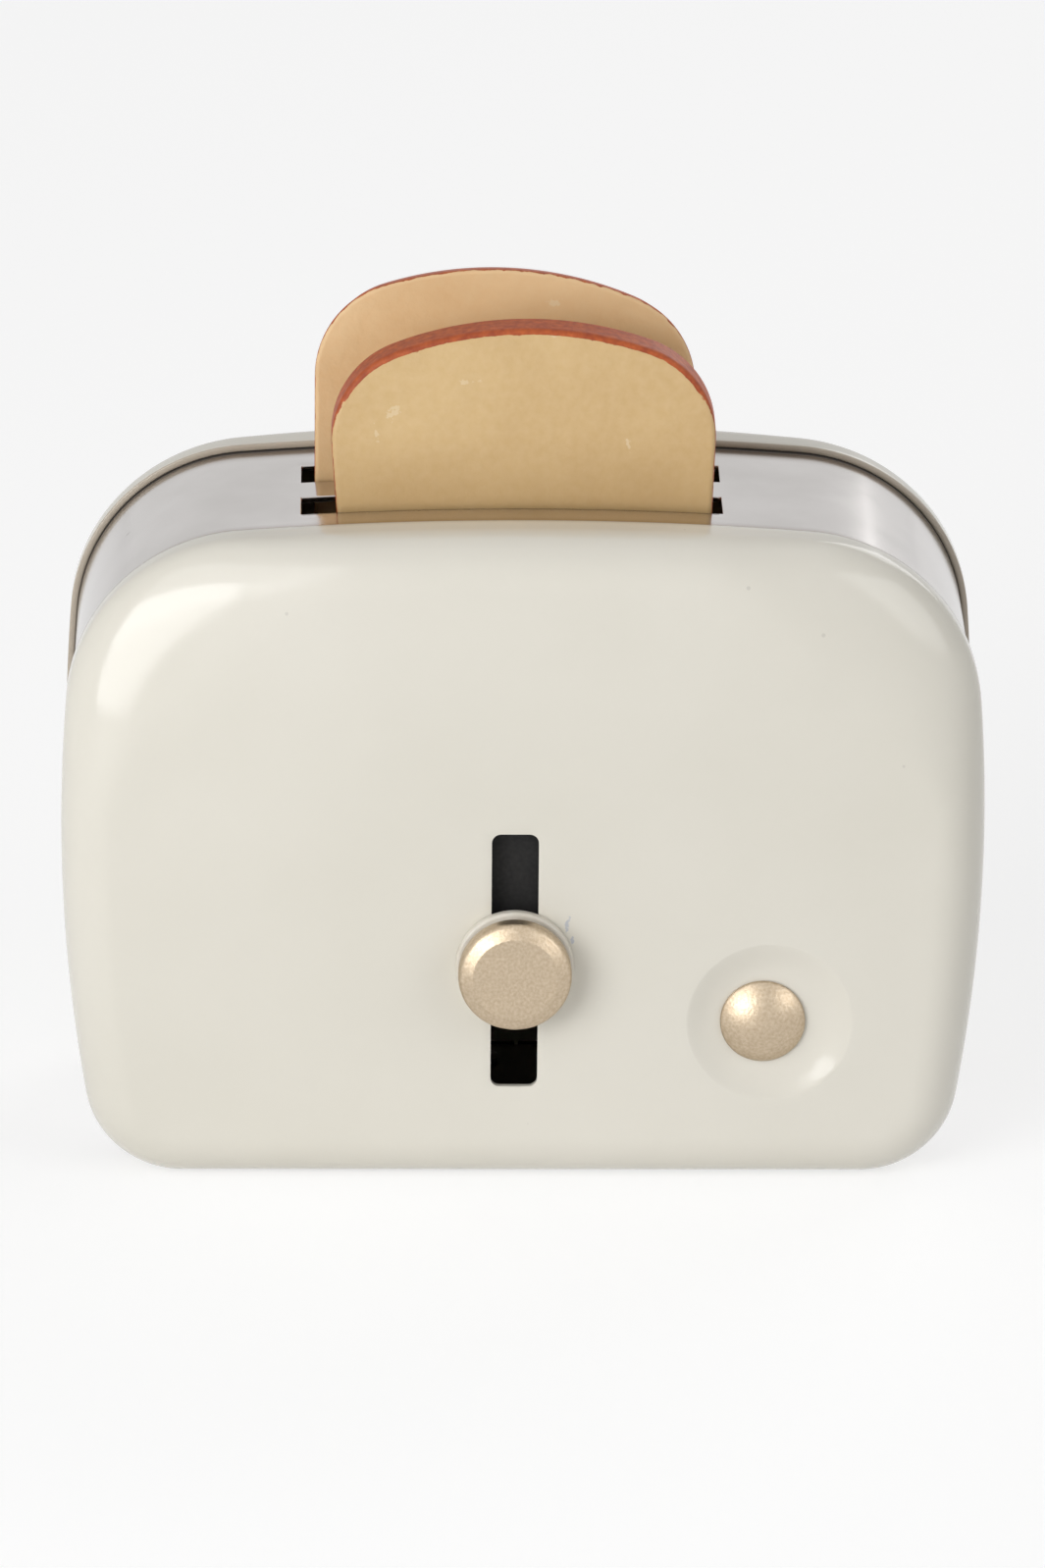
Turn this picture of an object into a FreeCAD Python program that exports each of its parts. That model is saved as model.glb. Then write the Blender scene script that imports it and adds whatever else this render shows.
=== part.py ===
import FreeCAD, Part
import math
import os
import Sketcher

# Toy toaster in sheet metal: two pressed shells, a band between them with two toast slots, a lever that
# carries the tray, a turning dial and two loose slices. Millimetres, +Z up, the front faces -Y. The origin
# is the middle of the bottom of the whole object, the lever's knob included.

SIZES = {
    # shells
    "shell_width": 66.0,
    "shell_height": 48.6,
    "shell_depth": 5.5,
    "shell_wall": 0.6,
    "edge_radius": 3.6,
    "top_corner_radius": 13.4,
    "bottom_corner_radius": 7.0,
    "side_radius": 122.0,
    "side_centre_height": 26.0,
    "crown_radius": 260.0,
    # band
    "band_show": 19.0,
    "band_engagement": 1.7,
    "band_wall": 0.45,
    "band_fit": 0.05,
    "seam_gap": 0.3,
    # toast slots
    "toast_slot_length": 30.0,
    "toast_slot_width": 3.8,
    "toast_slot_spacing": 7.1,
    "toast_slot_offset": -0.85,
    # strap under the band's joint, and its rivets
    "strap_length": 9.0,
    "strap_width": 17.0,
    "strap_wall": 0.6,
    "seam_rivet_radius": 0.6,
    "seam_rivet_head_radius": 1.1,
    "seam_rivet_head_height": 0.35,
    "seam_rivet_spacing": 5.0,
    "seam_rivet_pitch": 11.0,
    # lever slot
    "lever_offset": -0.6,
    "lever_slot_width": 3.35,
    "lever_slot_length": 19.25,
    "lever_slot_centre": 17.2,
    "lever_slot_corner": 0.65,
    # lever
    "lever_rest_height": 16.9,
    "slide_clearance": 0.05,
    "stem_radius": 1.6,
    "stem_tail_radius": 1.0,
    "stem_overrun": 0.3,
    "tenon_radius": 1.1,
    "tenon_length": 1.6,
    "shank_fit": 0.05,
    "thread_fit": 0.02,
    "washer_radius": 4.25,
    "washer_thickness": 0.7,
    "knob_radius": 4.05,
    "knob_thickness": 1.9,
    "knob_rim_radius": 0.85,
    "knob_back_radius": 0.3,
    "knob_hub_radius": 2.5,
    "knob_hub_length": 0.5,
    "inner_washer_radius": 3.6,
    "inner_washer_thickness": 0.5,
    "spring_washer_radius": 3.1,
    "spring_washer_height": 0.6,
    "spring_washer_wall": 0.3,
    "nut_across_flats": 3.6,
    "nut_thickness": 1.4,
    # bracket between the stem and the tray
    "bracket_wall": 0.8,
    "bracket_width": 8.0,
    "bracket_below_stem": 3.2,
    "bracket_bend_radius": 0.7,
    "bracket_reach": 1.6,
    # tray
    "tray_height": 32.8,
    "tray_wall": 0.8,
    "tray_depth": 12.8,
    "tray_length": 30.8,
    "tray_lip": 2.0,
    "tail_width": 6.0,
    "tail_length": 9.0,
    "tray_rivet_radius": 0.6,
    "tray_rivet_head_radius": 1.0,
    "tray_rivet_head_height": 0.35,
    "tray_rivet_spacing": 5.0,
    "tray_rivet_ahead": 0.5,
    # guide at the back
    "channel_wall": 0.6,
    "channel_depth": 2.9,
    "channel_width": 5.2,
    "channel_bottom": 12.0,
    "channel_length": 32.0,
    "guide_clearance": 0.1,
    "slider_stand_off": 0.5,
    "slider_length": 7.5,
    "slider_rivet_radius": 0.6,
    "slider_rivet_head_radius": 1.2,
    "slider_rivet_head_height": 0.4,
    "slider_rivet_depth": 1.5,
    # dial and its embossed dish
    "dish_offset": 17.7,
    "dish_height": 12.5,
    "dish_radius": 5.85,
    "dish_floor_radius": 3.9,
    "dish_depth": 0.8,
    "dial_offset": 17.2,
    "dial_height": 12.4,
    "dial_radius": 3.05,
    "dial_rim": 0.2,
    "dial_rise": 1.2,
    "dial_shank_radius": 1.25,
    "dial_shank_length": 2.9,
    "dial_fit": 0.05,
    "dial_washer_radius": 2.7,
    "dial_washer_height": 0.5,
    "dial_washer_wall": 0.25,
    "clip_radius": 2.4,
    "clip_thickness": 0.5,
    # toast
    "toast_half_width": 13.7,
    "toast_bottom_width": 25.2,
    "toast_thickness": 2.8,
    "toast_top_radius": 26.0,
    "toast_shoulder_radius": 7.0,
    "toast_edge_radius": 0.35,
    "toast_seat_gap": 0.1,
    "front_toast_height": 28.2,
    "front_toast_offset": 0.3,
    "front_toast_roll": -1.0,
    "front_toast_lean": 0.0,
    "rear_toast_height": 29.7,
    "rear_toast_offset": -2.4,
    "rear_toast_roll": 3.0,
    "rear_toast_lean": 2.5,
}

# Planes and distances that follow from the sizes. Those that end in "ahead" lie in front of the shells' mid
# plane and those that end in "behind" lie at its back.
PLACES = {
    "rim": "Sizes.band_show / 2",
    "face": "rim + Sizes.shell_depth",
    "face_inside": "face - Sizes.shell_wall",
    "dish_inside_depth": "Sizes.shell_depth - Sizes.shell_wall",
    "inside_edge_radius": "Sizes.edge_radius - Sizes.shell_wall",
    "band_inset": "Sizes.shell_wall + Sizes.band_fit",
    "band_inside_inset": "band_inset + Sizes.band_wall",
    "band_edge": "rim + Sizes.band_engagement",
    "band_width": "2 * band_edge",
    "crown_drop": "Sizes.toast_slot_length ^ 2 / (2 * Sizes.crown_radius)",
    "slot_cut_depth": "band_inside_inset + crown_drop",
    "slot_middle_height": "Sizes.shell_height - band_inset - Sizes.band_wall / 2",
    # lever stack, from the front
    "washer_back_ahead": "face + Sizes.slide_clearance",
    "washer_front_ahead": "washer_back_ahead + Sizes.washer_thickness",
    "knob_back_ahead": "washer_front_ahead + Sizes.knob_hub_length",
    "knob_front_ahead": "knob_back_ahead + Sizes.knob_thickness",
    "tenon_front_ahead": "washer_front_ahead + Sizes.tenon_length",
    "tenon_bore_ahead": "tenon_front_ahead + Sizes.thread_fit",
    "tenon_bore_radius": "Sizes.tenon_radius + Sizes.thread_fit",
    "shank_hole_radius": "Sizes.stem_radius + Sizes.shank_fit",
    "inner_washer_front_ahead": "face_inside - Sizes.slide_clearance",
    "inner_washer_back_ahead": "inner_washer_front_ahead - Sizes.inner_washer_thickness",
    "bracket_front_ahead": "inner_washer_back_ahead - Sizes.spring_washer_height",
    "bracket_back_ahead": "bracket_front_ahead - Sizes.bracket_wall",
    "spring_washer_rim_ahead": "inner_washer_back_ahead - Sizes.spring_washer_wall",
    "spring_washer_hub_ahead": "bracket_front_ahead + Sizes.spring_washer_wall",
    "nut_back_ahead": "bracket_back_ahead - Sizes.nut_thickness",
    "stem_end_ahead": "nut_back_ahead - Sizes.stem_overrun",
    "stem_hole_radius": "Sizes.stem_tail_radius + Sizes.thread_fit",
    "nut_corner_radius": "Sizes.nut_across_flats / 2 / cos(30 deg)",
    "mid_plane": "(knob_front_ahead - face) / 2",
    # tray and bracket
    "tray_underside": "Sizes.tray_height - Sizes.tray_wall",
    "flange_underside": "tray_underside - Sizes.bracket_wall",
    "bracket_bottom": "Sizes.lever_rest_height - Sizes.bracket_below_stem",
    "bracket_outer_bend": "Sizes.bracket_bend_radius + Sizes.bracket_wall",
    "half_tray": "Sizes.tray_depth / 2",
    "half_tray_inside": "half_tray - Sizes.tray_wall",
    "lip_top": "Sizes.tray_height + Sizes.tray_lip",
    "tail_bottom": "Sizes.tray_height - Sizes.tail_length",
    "tray_rivet_hole_radius": "Sizes.tray_rivet_radius + Sizes.thread_fit",
    # guide
    "channel_base_behind": "face_inside - Sizes.channel_wall",
    "channel_front_behind": "face_inside - Sizes.channel_depth",
    "half_channel": "Sizes.channel_width / 2",
    "half_channel_inside": "half_channel - Sizes.channel_wall",
    "slider_back_behind": "channel_base_behind - Sizes.guide_clearance",
    "slider_front_behind": "channel_front_behind - Sizes.slider_stand_off",
    "half_slider": "half_channel_inside - Sizes.guide_clearance",
    "tail_front_behind": "slider_front_behind - Sizes.tray_wall",
    "slider_middle": "tail_bottom + Sizes.slider_length / 2",
    "slider_hole_radius": "Sizes.slider_rivet_radius + Sizes.thread_fit",
    "slider_rivet_head_behind": "tail_front_behind - Sizes.slider_rivet_head_height",
    "slider_rivet_end_behind": "slider_front_behind + Sizes.slider_rivet_depth",
    # band's joint
    "band_bottom_inside": "band_inside_inset",
    "strap_top": "band_bottom_inside + Sizes.strap_wall",
    "half_strap_length": "Sizes.strap_length / 2",
    "half_strap_width": "Sizes.strap_width / 2",
    "seam_rivet_hole_radius": "Sizes.seam_rivet_radius + Sizes.thread_fit",
    # dial, from the front
    "dish_floor": "face - Sizes.dish_depth",
    "dish_floor_inside": "dish_floor - Sizes.shell_wall",
    "dish_back_radius": "Sizes.dish_radius + Sizes.shell_wall / 2",
    "dish_back_floor_radius": "Sizes.dish_floor_radius + Sizes.shell_wall",
    "dial_back_ahead": "dish_floor + Sizes.dial_fit",
    "dial_rim_ahead": "dial_back_ahead + Sizes.dial_rim",
    "dial_front_ahead": "dial_rim_ahead + Sizes.dial_rise",
    "dial_dome_radius": "(Sizes.dial_radius ^ 2 + Sizes.dial_rise ^ 2) / (2 * Sizes.dial_rise)",
    "dial_dome_centre": "dial_front_ahead - dial_dome_radius",
    "dial_hole_radius": "Sizes.dial_shank_radius + Sizes.dial_fit",
    "dial_washer_front": "dish_floor_inside - Sizes.dial_fit",
    "dial_washer_rim": "dial_washer_front - Sizes.dial_washer_wall",
    "dial_washer_back": "dial_washer_front - Sizes.dial_washer_height",
    "dial_washer_hub": "dial_washer_back + Sizes.dial_washer_wall",
    "clip_front": "dial_washer_back",
    "clip_back": "clip_front - Sizes.clip_thickness",
    "dial_shank_end": "dial_back_ahead - Sizes.dial_shank_length",
    # toast
    "half_toast_bottom": "Sizes.toast_bottom_width / 2",
    "half_toast": "Sizes.toast_thickness / 2",
    "half_slot_spacing": "Sizes.toast_slot_spacing / 2",
}

# Lengths and volumes that differ by less than this count as the same.
SAME = 1e-5

doc = FreeCAD.newDocument("toy_toaster")


def fill_sheet(name, cells):
    """One row a value: its name in column A, the value in column B with the same name as its alias."""
    sheet = doc.addObject("Spreadsheet::Sheet", name)
    for row, (alias, content) in enumerate(cells.items(), start=1):
        sheet.set(f"A{row}", alias)
        sheet.set(f"B{row}", content)
        sheet.setAlias(f"B{row}", alias)
    return sheet


fill_sheet("Sizes", {alias: str(number) for alias, number in SIZES.items()})
fill_sheet("Places", {alias: "=" + formula for alias, formula in PLACES.items()})
doc.recompute()


def number(name):
    """The present value of a named size or place, such as "-Places.face"."""
    if name == "0":
        return 0.0
    sheet, alias = name.lstrip("-").split(".")
    found = float(doc.getObject(sheet).get(alias))
    return -found if name.startswith("-") else found


def new_body(label, across="0", along="Places.mid_plane", height="0"):
    """An empty body whose own origin stands at the named place."""
    body = doc.addObject("PartDesign::Body", label)
    body.Label = label
    for axis, place in (("x", across), ("y", along), ("z", height)):
        if place != "0":
            body.setExpression(f"Placement.Base.{axis}", place)
    return body


def new_sketch(body, name, role, shift="0"):
    """A sketch on one of the body's own origin planes, moved along the plane's normal by shift."""
    sketch = body.newObject("Sketcher::SketchObject", f"{body.Label}_{name}")
    plane = [feature for feature in body.Origin.OriginFeatures if feature.Role == role][0]
    sketch.AttachmentSupport = [(plane, "")]
    sketch.MapMode = "FlatFace"
    if shift != "0":
        sketch.setExpression("AttachmentOffset.Base.z", shift)
    return sketch


def bind(sketch, constraint, name):
    """Adds a dimension and ties it to a named value."""
    index = sketch.addConstraint(constraint)
    sketch.setExpression(f"Constraints[{index}]", name)


def place_point(sketch, geometry, point, across, up):
    """Puts a point at a named place, counted from the sketch's origin."""
    if across == "0":
        sketch.addConstraint(Sketcher.Constraint("PointOnObject", geometry, point, -2))
    else:
        bind(sketch, Sketcher.Constraint("DistanceX", -1, 1, geometry, point, number(across)), across)
    if up == "0":
        sketch.addConstraint(Sketcher.Constraint("PointOnObject", geometry, point, -1))
    else:
        bind(sketch, Sketcher.Constraint("DistanceY", -1, 1, geometry, point, number(up)), up)


def add_polygon(sketch, corners):
    """A closed polygon with each corner tied to its named place."""
    points = [FreeCAD.Vector(number(across), number(up), 0) for across, up in corners]
    lines = []
    for start, end in zip(points, points[1:] + points[:1]):
        lines.append(sketch.addGeometry(Part.LineSegment(start, end)))
    for line, following in zip(lines, lines[1:] + lines[:1]):
        sketch.addConstraint(Sketcher.Constraint("Coincident", line, 2, following, 1))
    for line, (across, up) in zip(lines, corners):
        place_point(sketch, line, 1, across, up)


def add_rectangle(sketch, width, height, across="0", up="0"):
    """A rectangle of a named width and height about a named centre."""
    half_wide = number(width) / 2
    half_high = number(height) / 2
    middle = FreeCAD.Vector(number(across), number(up), 0)
    signs = ((-1, -1), (1, -1), (1, 1), (-1, 1))
    points = [middle + FreeCAD.Vector(sx * half_wide, sy * half_high, 0) for sx, sy in signs]
    lines = []
    for start, end in zip(points, points[1:] + points[:1]):
        lines.append(sketch.addGeometry(Part.LineSegment(start, end)))
    for line, following in zip(lines, lines[1:] + lines[:1]):
        sketch.addConstraint(Sketcher.Constraint("Coincident", line, 2, following, 1))
    for line, way in zip(lines, ("Horizontal", "Vertical", "Horizontal", "Vertical")):
        sketch.addConstraint(Sketcher.Constraint(way, line))
    centre = sketch.addGeometry(Part.Point(middle), True)
    sketch.addConstraint(Sketcher.Constraint("Symmetric", lines[0], 1, lines[2], 1, centre, 1))
    place_point(sketch, centre, 1, across, up)
    bind(sketch, Sketcher.Constraint("DistanceX", lines[0], 1, lines[0], 2, number(width)), width)
    bind(sketch, Sketcher.Constraint("DistanceY", lines[1], 1, lines[1], 2, number(height)), height)


def add_circle(sketch, radius, across="0", up="0"):
    """A circle of a named radius at a named centre."""
    centre = FreeCAD.Vector(number(across), number(up), 0)
    circle = sketch.addGeometry(Part.Circle(centre, FreeCAD.Vector(0, 0, 1), number(radius)))
    place_point(sketch, circle, 3, across, up)
    bind(sketch, Sketcher.Constraint("Radius", circle, number(radius)), radius)


def pad(body, sketch, length, backwards=False):
    """Material from the sketch along its plane's normal, or against it."""
    feature = body.newObject("PartDesign::Pad", f"{sketch.Name}_pad")
    feature.Profile = sketch
    feature.setExpression("Length", length)
    feature.Reversed = backwards
    doc.recompute()
    return feature


def check_cut(body, sketch, before):
    """Stops where a cut took nothing away."""
    if not body.Shape.Volume < before - SAME:
        raise ValueError(f"{sketch.Name} cuts nothing")


def pocket(body, sketch, length="", backwards=False):
    """A cut from the sketch against its plane's normal, or along it; with no length it goes right through."""
    before = body.Shape.Volume
    feature = body.newObject("PartDesign::Pocket", f"{sketch.Name}_pocket")
    feature.Profile = sketch
    feature.Reversed = backwards
    if length:
        feature.setExpression("Length", length)
    else:
        feature.Type = "ThroughAll"
        feature.Midplane = True
    doc.recompute()
    check_cut(body, sketch, before)
    return feature


def revolve(body, sketch, groove=False):
    """A full turn of the sketch about its upright axis: added material, or a groove cut from the body."""
    before = body.Shape.Volume if groove else 0
    kind = "PartDesign::Groove" if groove else "PartDesign::Revolution"
    feature = body.newObject(kind, f"{sketch.Name}_turned")
    feature.Profile = sketch
    feature.ReferenceAxis = (sketch, ["V_Axis"])
    feature.Angle = 360
    doc.recompute()
    if groove:
        check_cut(body, sketch, before)
    return feature


def round_edges(body, radius, chosen):
    """Rounds the edges of the body's last feature that the chosen test picks, to a named radius."""
    base = body.Tip
    names = [f"Edge{index}" for index, edge in enumerate(base.Shape.Edges, start=1) if chosen(edge)]
    feature = body.newObject("PartDesign::Fillet", f"{body.Label}_round_{len(body.Group)}")
    feature.Base = (base, names)
    feature.setExpression("Radius", radius)
    doc.recompute()
    return feature


def lies_at(axis, place):
    """A test for edges that lie wholly in one plane across the given axis."""
    at = number(place)

    def test(edge):
        box = edge.BoundBox
        low = getattr(box, f"{axis}Min")
        high = getattr(box, f"{axis}Max")
        return abs(low - at) < SAME and abs(high - at) < SAME

    return test


def runs_along(axis, length):
    """A test for straight edges of a named length that run along the given axis."""
    def test(edge):
        box = edge.BoundBox
        spans = {name: getattr(box, f"{name}Length") for name in "XYZ"}
        others = [span for name, span in spans.items() if name != axis]
        return abs(spans[axis] - number(length)) < SAME and max(others) < SAME

    return test


def turned(label, corners, across="0", height="0"):
    """A piece turned about an axis along Y: its half section is a polygon of radius and place along Y."""
    body = new_body(label, across, "Places.mid_plane", height)
    sketch = new_sketch(body, "section", "XY_Plane")
    add_polygon(sketch, corners)
    revolve(body, sketch)
    return body


def add_outline(sketch, inset):
    """The case seen from the front: a flat base, bulged sides and a crowned top, joined by corner arcs that
    run smoothly into both. Every arc keeps its centre when the outline is drawn in by the inset."""
    step = number(inset)
    half_width = number("Sizes.shell_width") / 2
    height = number("Sizes.shell_height")
    low = number("Sizes.bottom_corner_radius")
    top = number("Sizes.top_corner_radius")
    side = number("Sizes.side_radius")
    crown = number("Sizes.crown_radius")
    side_across = half_width - side
    side_up = number("Sizes.side_centre_height")
    crown_up = height - crown
    low_across = side_across + math.sqrt((side - low) ** 2 - (side_up - low) ** 2)
    # The top corner's centre lies on two circles: one about the side's centre, one about the crown's.
    gap = math.hypot(side_across, side_up - crown_up)
    reach_side = side - top
    reach_crown = crown - top
    along = (reach_crown ** 2 - reach_side ** 2 + gap ** 2) / (2 * gap)
    aside = math.sqrt(reach_crown ** 2 - along ** 2)
    way = ((side_across) / gap, (side_up - crown_up) / gap)
    top_across = way[0] * along + way[1] * aside
    top_up = crown_up + way[1] * along - way[0] * aside
    low_end = math.atan2(low - side_up, low_across - side_across)
    side_end = math.atan2(top_up - side_up, top_across - side_across)
    crown_end = math.atan2(top_up - crown_up, top_across)
    arcs = (
        (low_across, low, low - step, -math.pi / 2, low_end),
        (side_across, side_up, side - step, low_end, side_end),
        (top_across, top_up, top - step, side_end, crown_end),
        (0.0, crown_up, crown - step, crown_end, math.pi - crown_end),
        (-top_across, top_up, top - step, math.pi - crown_end, math.pi - side_end),
        (-side_across, side_up, side - step, math.pi - side_end, math.pi - low_end),
        (-low_across, low, low - step, math.pi - low_end, 1.5 * math.pi),
    )
    start = FreeCAD.Vector(-low_across, step, 0)
    end = FreeCAD.Vector(low_across, step, 0)
    curves = [sketch.addGeometry(Part.LineSegment(start, end))]
    for across, up, radius, first, last in arcs:
        circle = Part.Circle(FreeCAD.Vector(across, up, 0), FreeCAD.Vector(0, 0, 1), radius)
        curves.append(sketch.addGeometry(Part.ArcOfCircle(circle, first, last)))
    base, low_right, right, top_right, over, top_left, left, low_left = curves
    for curve, following in zip(curves, curves[1:] + curves[:1]):
        sketch.addConstraint(Sketcher.Constraint("Tangent", curve, 2, following, 1))
    radii = (
        (low_right, "bottom_corner_radius", low),
        (low_left, "bottom_corner_radius", low),
        (right, "side_radius", side),
        (left, "side_radius", side),
        (top_right, "top_corner_radius", top),
        (top_left, "top_corner_radius", top),
        (over, "crown_radius", crown),
    )
    for curve, alias, radius in radii:
        formula = f"Sizes.{alias}" if inset == "0" else f"Sizes.{alias} - {inset}"
        bind(sketch, Sketcher.Constraint("Radius", curve, radius - step), formula)
    if inset == "0":
        sketch.addConstraint(Sketcher.Constraint("PointOnObject", base, 1, -1))
    else:
        bind(sketch, Sketcher.Constraint("DistanceY", -1, 1, base, 1, step), inset)
    sketch.addConstraint(Sketcher.Constraint("PointOnObject", over, 3, -2))
    bind(sketch, Sketcher.Constraint("DistanceY", -1, 1, over, 3, crown_up),
         "Sizes.shell_height - Sizes.crown_radius")
    bind(sketch, Sketcher.Constraint("DistanceX", -1, 1, right, 3, side_across),
         "Sizes.shell_width / 2 - Sizes.side_radius")
    bind(sketch, Sketcher.Constraint("DistanceY", -1, 1, right, 3, side_up), "Sizes.side_centre_height")
    bind(sketch, Sketcher.Constraint("DistanceX", -1, 1, left, 3, -side_across),
         "Sizes.side_radius - Sizes.shell_width / 2")
    # The left side's height follows from the base line, which is level.
    sketch.addConstraint(Sketcher.Constraint("Horizontal", base))


def make_shell(label, front):
    """A pressed dish: the outline drawn forward or back from the rim, rounded over at the face and hollow."""
    body = new_body(label)
    normal_side = "" if front else "-"
    y_side = "-" if front else ""
    outer = new_sketch(body, "outline", "XZ_Plane", f"{normal_side}Places.rim")
    add_outline(outer, "0")
    pad(body, outer, "Sizes.shell_depth", backwards=not front)
    hollow = new_sketch(body, "hollow", "XZ_Plane", f"{normal_side}Places.rim")
    add_outline(hollow, "Sizes.shell_wall")
    pocket(body, hollow, "Places.dish_inside_depth", backwards=front)
    round_edges(body, "Places.inside_edge_radius", lies_at("Y", f"{y_side}Places.face_inside"))
    round_edges(body, "Sizes.edge_radius", lies_at("Y", f"{y_side}Places.face"))
    return body


def make_front_shell():
    """The dish with the lever's slot and, for the dial, a round embossed recess with a hole."""
    body = make_shell("front_shell", front=True)
    slot = new_sketch(body, "lever_slot", "XZ_Plane", "Places.face")
    add_rectangle(slot, "Sizes.lever_slot_width", "Sizes.lever_slot_length",
                  "Sizes.lever_offset", "Sizes.lever_slot_centre")
    pocket(body, slot, "2 * Sizes.shell_wall")
    round_edges(body, "Sizes.lever_slot_corner", runs_along("Y", "Sizes.shell_wall"))
    bulge = new_sketch(body, "dish_bulge", "XY_Plane")
    bulge.setExpression("AttachmentOffset.Base.x", "Sizes.dish_offset")
    bulge.setExpression("AttachmentOffset.Base.z", "Sizes.dish_height")
    add_polygon(bulge, (("0", "-Places.face_inside"), ("Places.dish_back_radius", "-Places.face_inside"),
                        ("Places.dish_back_floor_radius", "-Places.dish_floor_inside"),
                        ("0", "-Places.dish_floor_inside")))
    revolve(body, bulge)
    dish = new_sketch(body, "dish", "XY_Plane")
    dish.setExpression("AttachmentOffset.Base.x", "Sizes.dish_offset")
    dish.setExpression("AttachmentOffset.Base.z", "Sizes.dish_height")
    add_polygon(dish, (("0", "-Places.face"), ("Sizes.dish_radius", "-Places.face"),
                       ("Sizes.dish_floor_radius", "-Places.dish_floor"), ("0", "-Places.dish_floor")))
    revolve(body, dish, groove=True)
    hole = new_sketch(body, "dial_hole", "XZ_Plane", "Places.face")
    add_circle(hole, "Places.dial_hole_radius", "Sizes.dial_offset", "Sizes.dial_height")
    pocket(body, hole, "2 * Sizes.shell_wall + Sizes.dish_depth")
    return body


def make_centre_band():
    """The strip bent to the shells' outline inside their rims, open at the joint underneath, with the two
    toast slots through its top and the strap's rivet holes."""
    body = new_body("centre_band")
    outer = new_sketch(body, "outside", "XZ_Plane", "-Places.band_edge")
    add_outline(outer, "Places.band_inset")
    pad(body, outer, "Places.band_width")
    inner = new_sketch(body, "inside", "XZ_Plane")
    add_outline(inner, "Places.band_inside_inset")
    pocket(body, inner)
    slots = new_sketch(body, "toast_slots", "XY_Plane", "Sizes.shell_height")
    for place in ("-Places.half_slot_spacing", "Places.half_slot_spacing"):
        add_rectangle(slots, "Sizes.toast_slot_length", "Sizes.toast_slot_width",
                      "Sizes.toast_slot_offset", place)
    pocket(body, slots, "Places.slot_cut_depth")
    seam = new_sketch(body, "seam", "XY_Plane")
    add_rectangle(seam, "Sizes.seam_gap", "Places.band_width")
    pocket(body, seam, "2 * Places.band_inside_inset", backwards=True)
    holes = new_sketch(body, "rivet_holes", "XY_Plane")
    add_rivet_holes(holes)
    pocket(body, holes, "2 * Places.band_inside_inset", backwards=True)
    return body


def seam_rivet_centres():
    """The four rivets' places across and along the strap."""
    across = number("Sizes.seam_rivet_spacing") / 2
    along = number("Sizes.seam_rivet_pitch") / 2
    return [(sx * across, sy * along) for sx in (-1, 1) for sy in (-1, 1)]


def add_rivet_holes(sketch):
    """The strap's four rivet holes, tied to the rivets' spacing."""
    for across, along in seam_rivet_centres():
        centre = FreeCAD.Vector(across, along, 0)
        radius = number("Places.seam_rivet_hole_radius")
        circle = sketch.addGeometry(Part.Circle(centre, FreeCAD.Vector(0, 0, 1), radius))
        bind(sketch, Sketcher.Constraint("Radius", circle, radius), "Places.seam_rivet_hole_radius")
        sign_x = "" if across > 0 else "-"
        sign_y = "" if along > 0 else "-"
        bind(sketch, Sketcher.Constraint("DistanceX", -1, 1, circle, 3, across),
             f"{sign_x}Sizes.seam_rivet_spacing / 2")
        bind(sketch, Sketcher.Constraint("DistanceY", -1, 1, circle, 3, along),
             f"{sign_y}Sizes.seam_rivet_pitch / 2")


def make_seam_strap():
    """The strap that joins the band's two ends, inside at the bottom."""
    body = new_body("seam_strap")
    plan = new_sketch(body, "plan", "XY_Plane", "Places.band_bottom_inside")
    add_rectangle(plan, "Sizes.strap_length", "Sizes.strap_width")
    pad(body, plan, "Sizes.strap_wall")
    holes = new_sketch(body, "rivet_holes", "XY_Plane")
    add_rivet_holes(holes)
    pocket(body, holes, "2 * Places.strap_top", backwards=True)
    return body


def rivet(name, radius, head_radius, head_height, low, high, centre, axis):
    """A rivet with a flat head at each end, from low to high along its axis: three joined cylinders."""
    grip = doc.addObject("Part::Cylinder", f"{name}_grip")
    grip.setExpression("Radius", radius)
    grip.setExpression("Height", f"{high} - ({low})")
    pieces = [(grip, low)]
    for end, start in (("low", f"{low} - {head_height}"), ("high", high)):
        head = doc.addObject("Part::Cylinder", f"{name}_{end}_head")
        head.setExpression("Radius", head_radius)
        head.setExpression("Height", head_height)
        pieces.append((head, start))
    for piece, start in pieces:
        if axis == "Y":
            piece.Placement.Rotation = FreeCAD.Rotation(FreeCAD.Vector(1, 0, 0), -90)
            starts = (centre[0], f"{start} + Places.mid_plane", centre[1])
        else:
            starts = (centre[0], f"{centre[1]} + Places.mid_plane", start)
        for letter, place in zip("xyz", starts):
            piece.setExpression(f"Placement.Base.{letter}", place)
    whole = doc.addObject("Part::MultiFuse", name)
    whole.Shapes = [piece for piece, start in pieces]
    return whole


def rivet_group(label, rivets):
    """Several like rivets kept as one group of separate solids."""
    group = doc.addObject("Part::Compound", label)
    group.Label = label
    group.Links = rivets
    return group


def make_seam_rivets():
    """The four rivets that hold the strap to the band's ends, as one group."""
    rivets = []
    for index, (across, along) in enumerate(seam_rivet_centres()):
        sign_x = "" if across > 0 else "-"
        sign_y = "" if along > 0 else "-"
        centre = (f"{sign_x}Sizes.seam_rivet_spacing / 2", f"{sign_y}Sizes.seam_rivet_pitch / 2")
        rivets.append(rivet(f"seam_rivet_{index}", "Sizes.seam_rivet_radius", "Sizes.seam_rivet_head_radius",
                            "Sizes.seam_rivet_head_height", "Places.band_inset", "Places.strap_top",
                            centre, "Z"))
    return rivet_group("seam_rivets", rivets)


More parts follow.
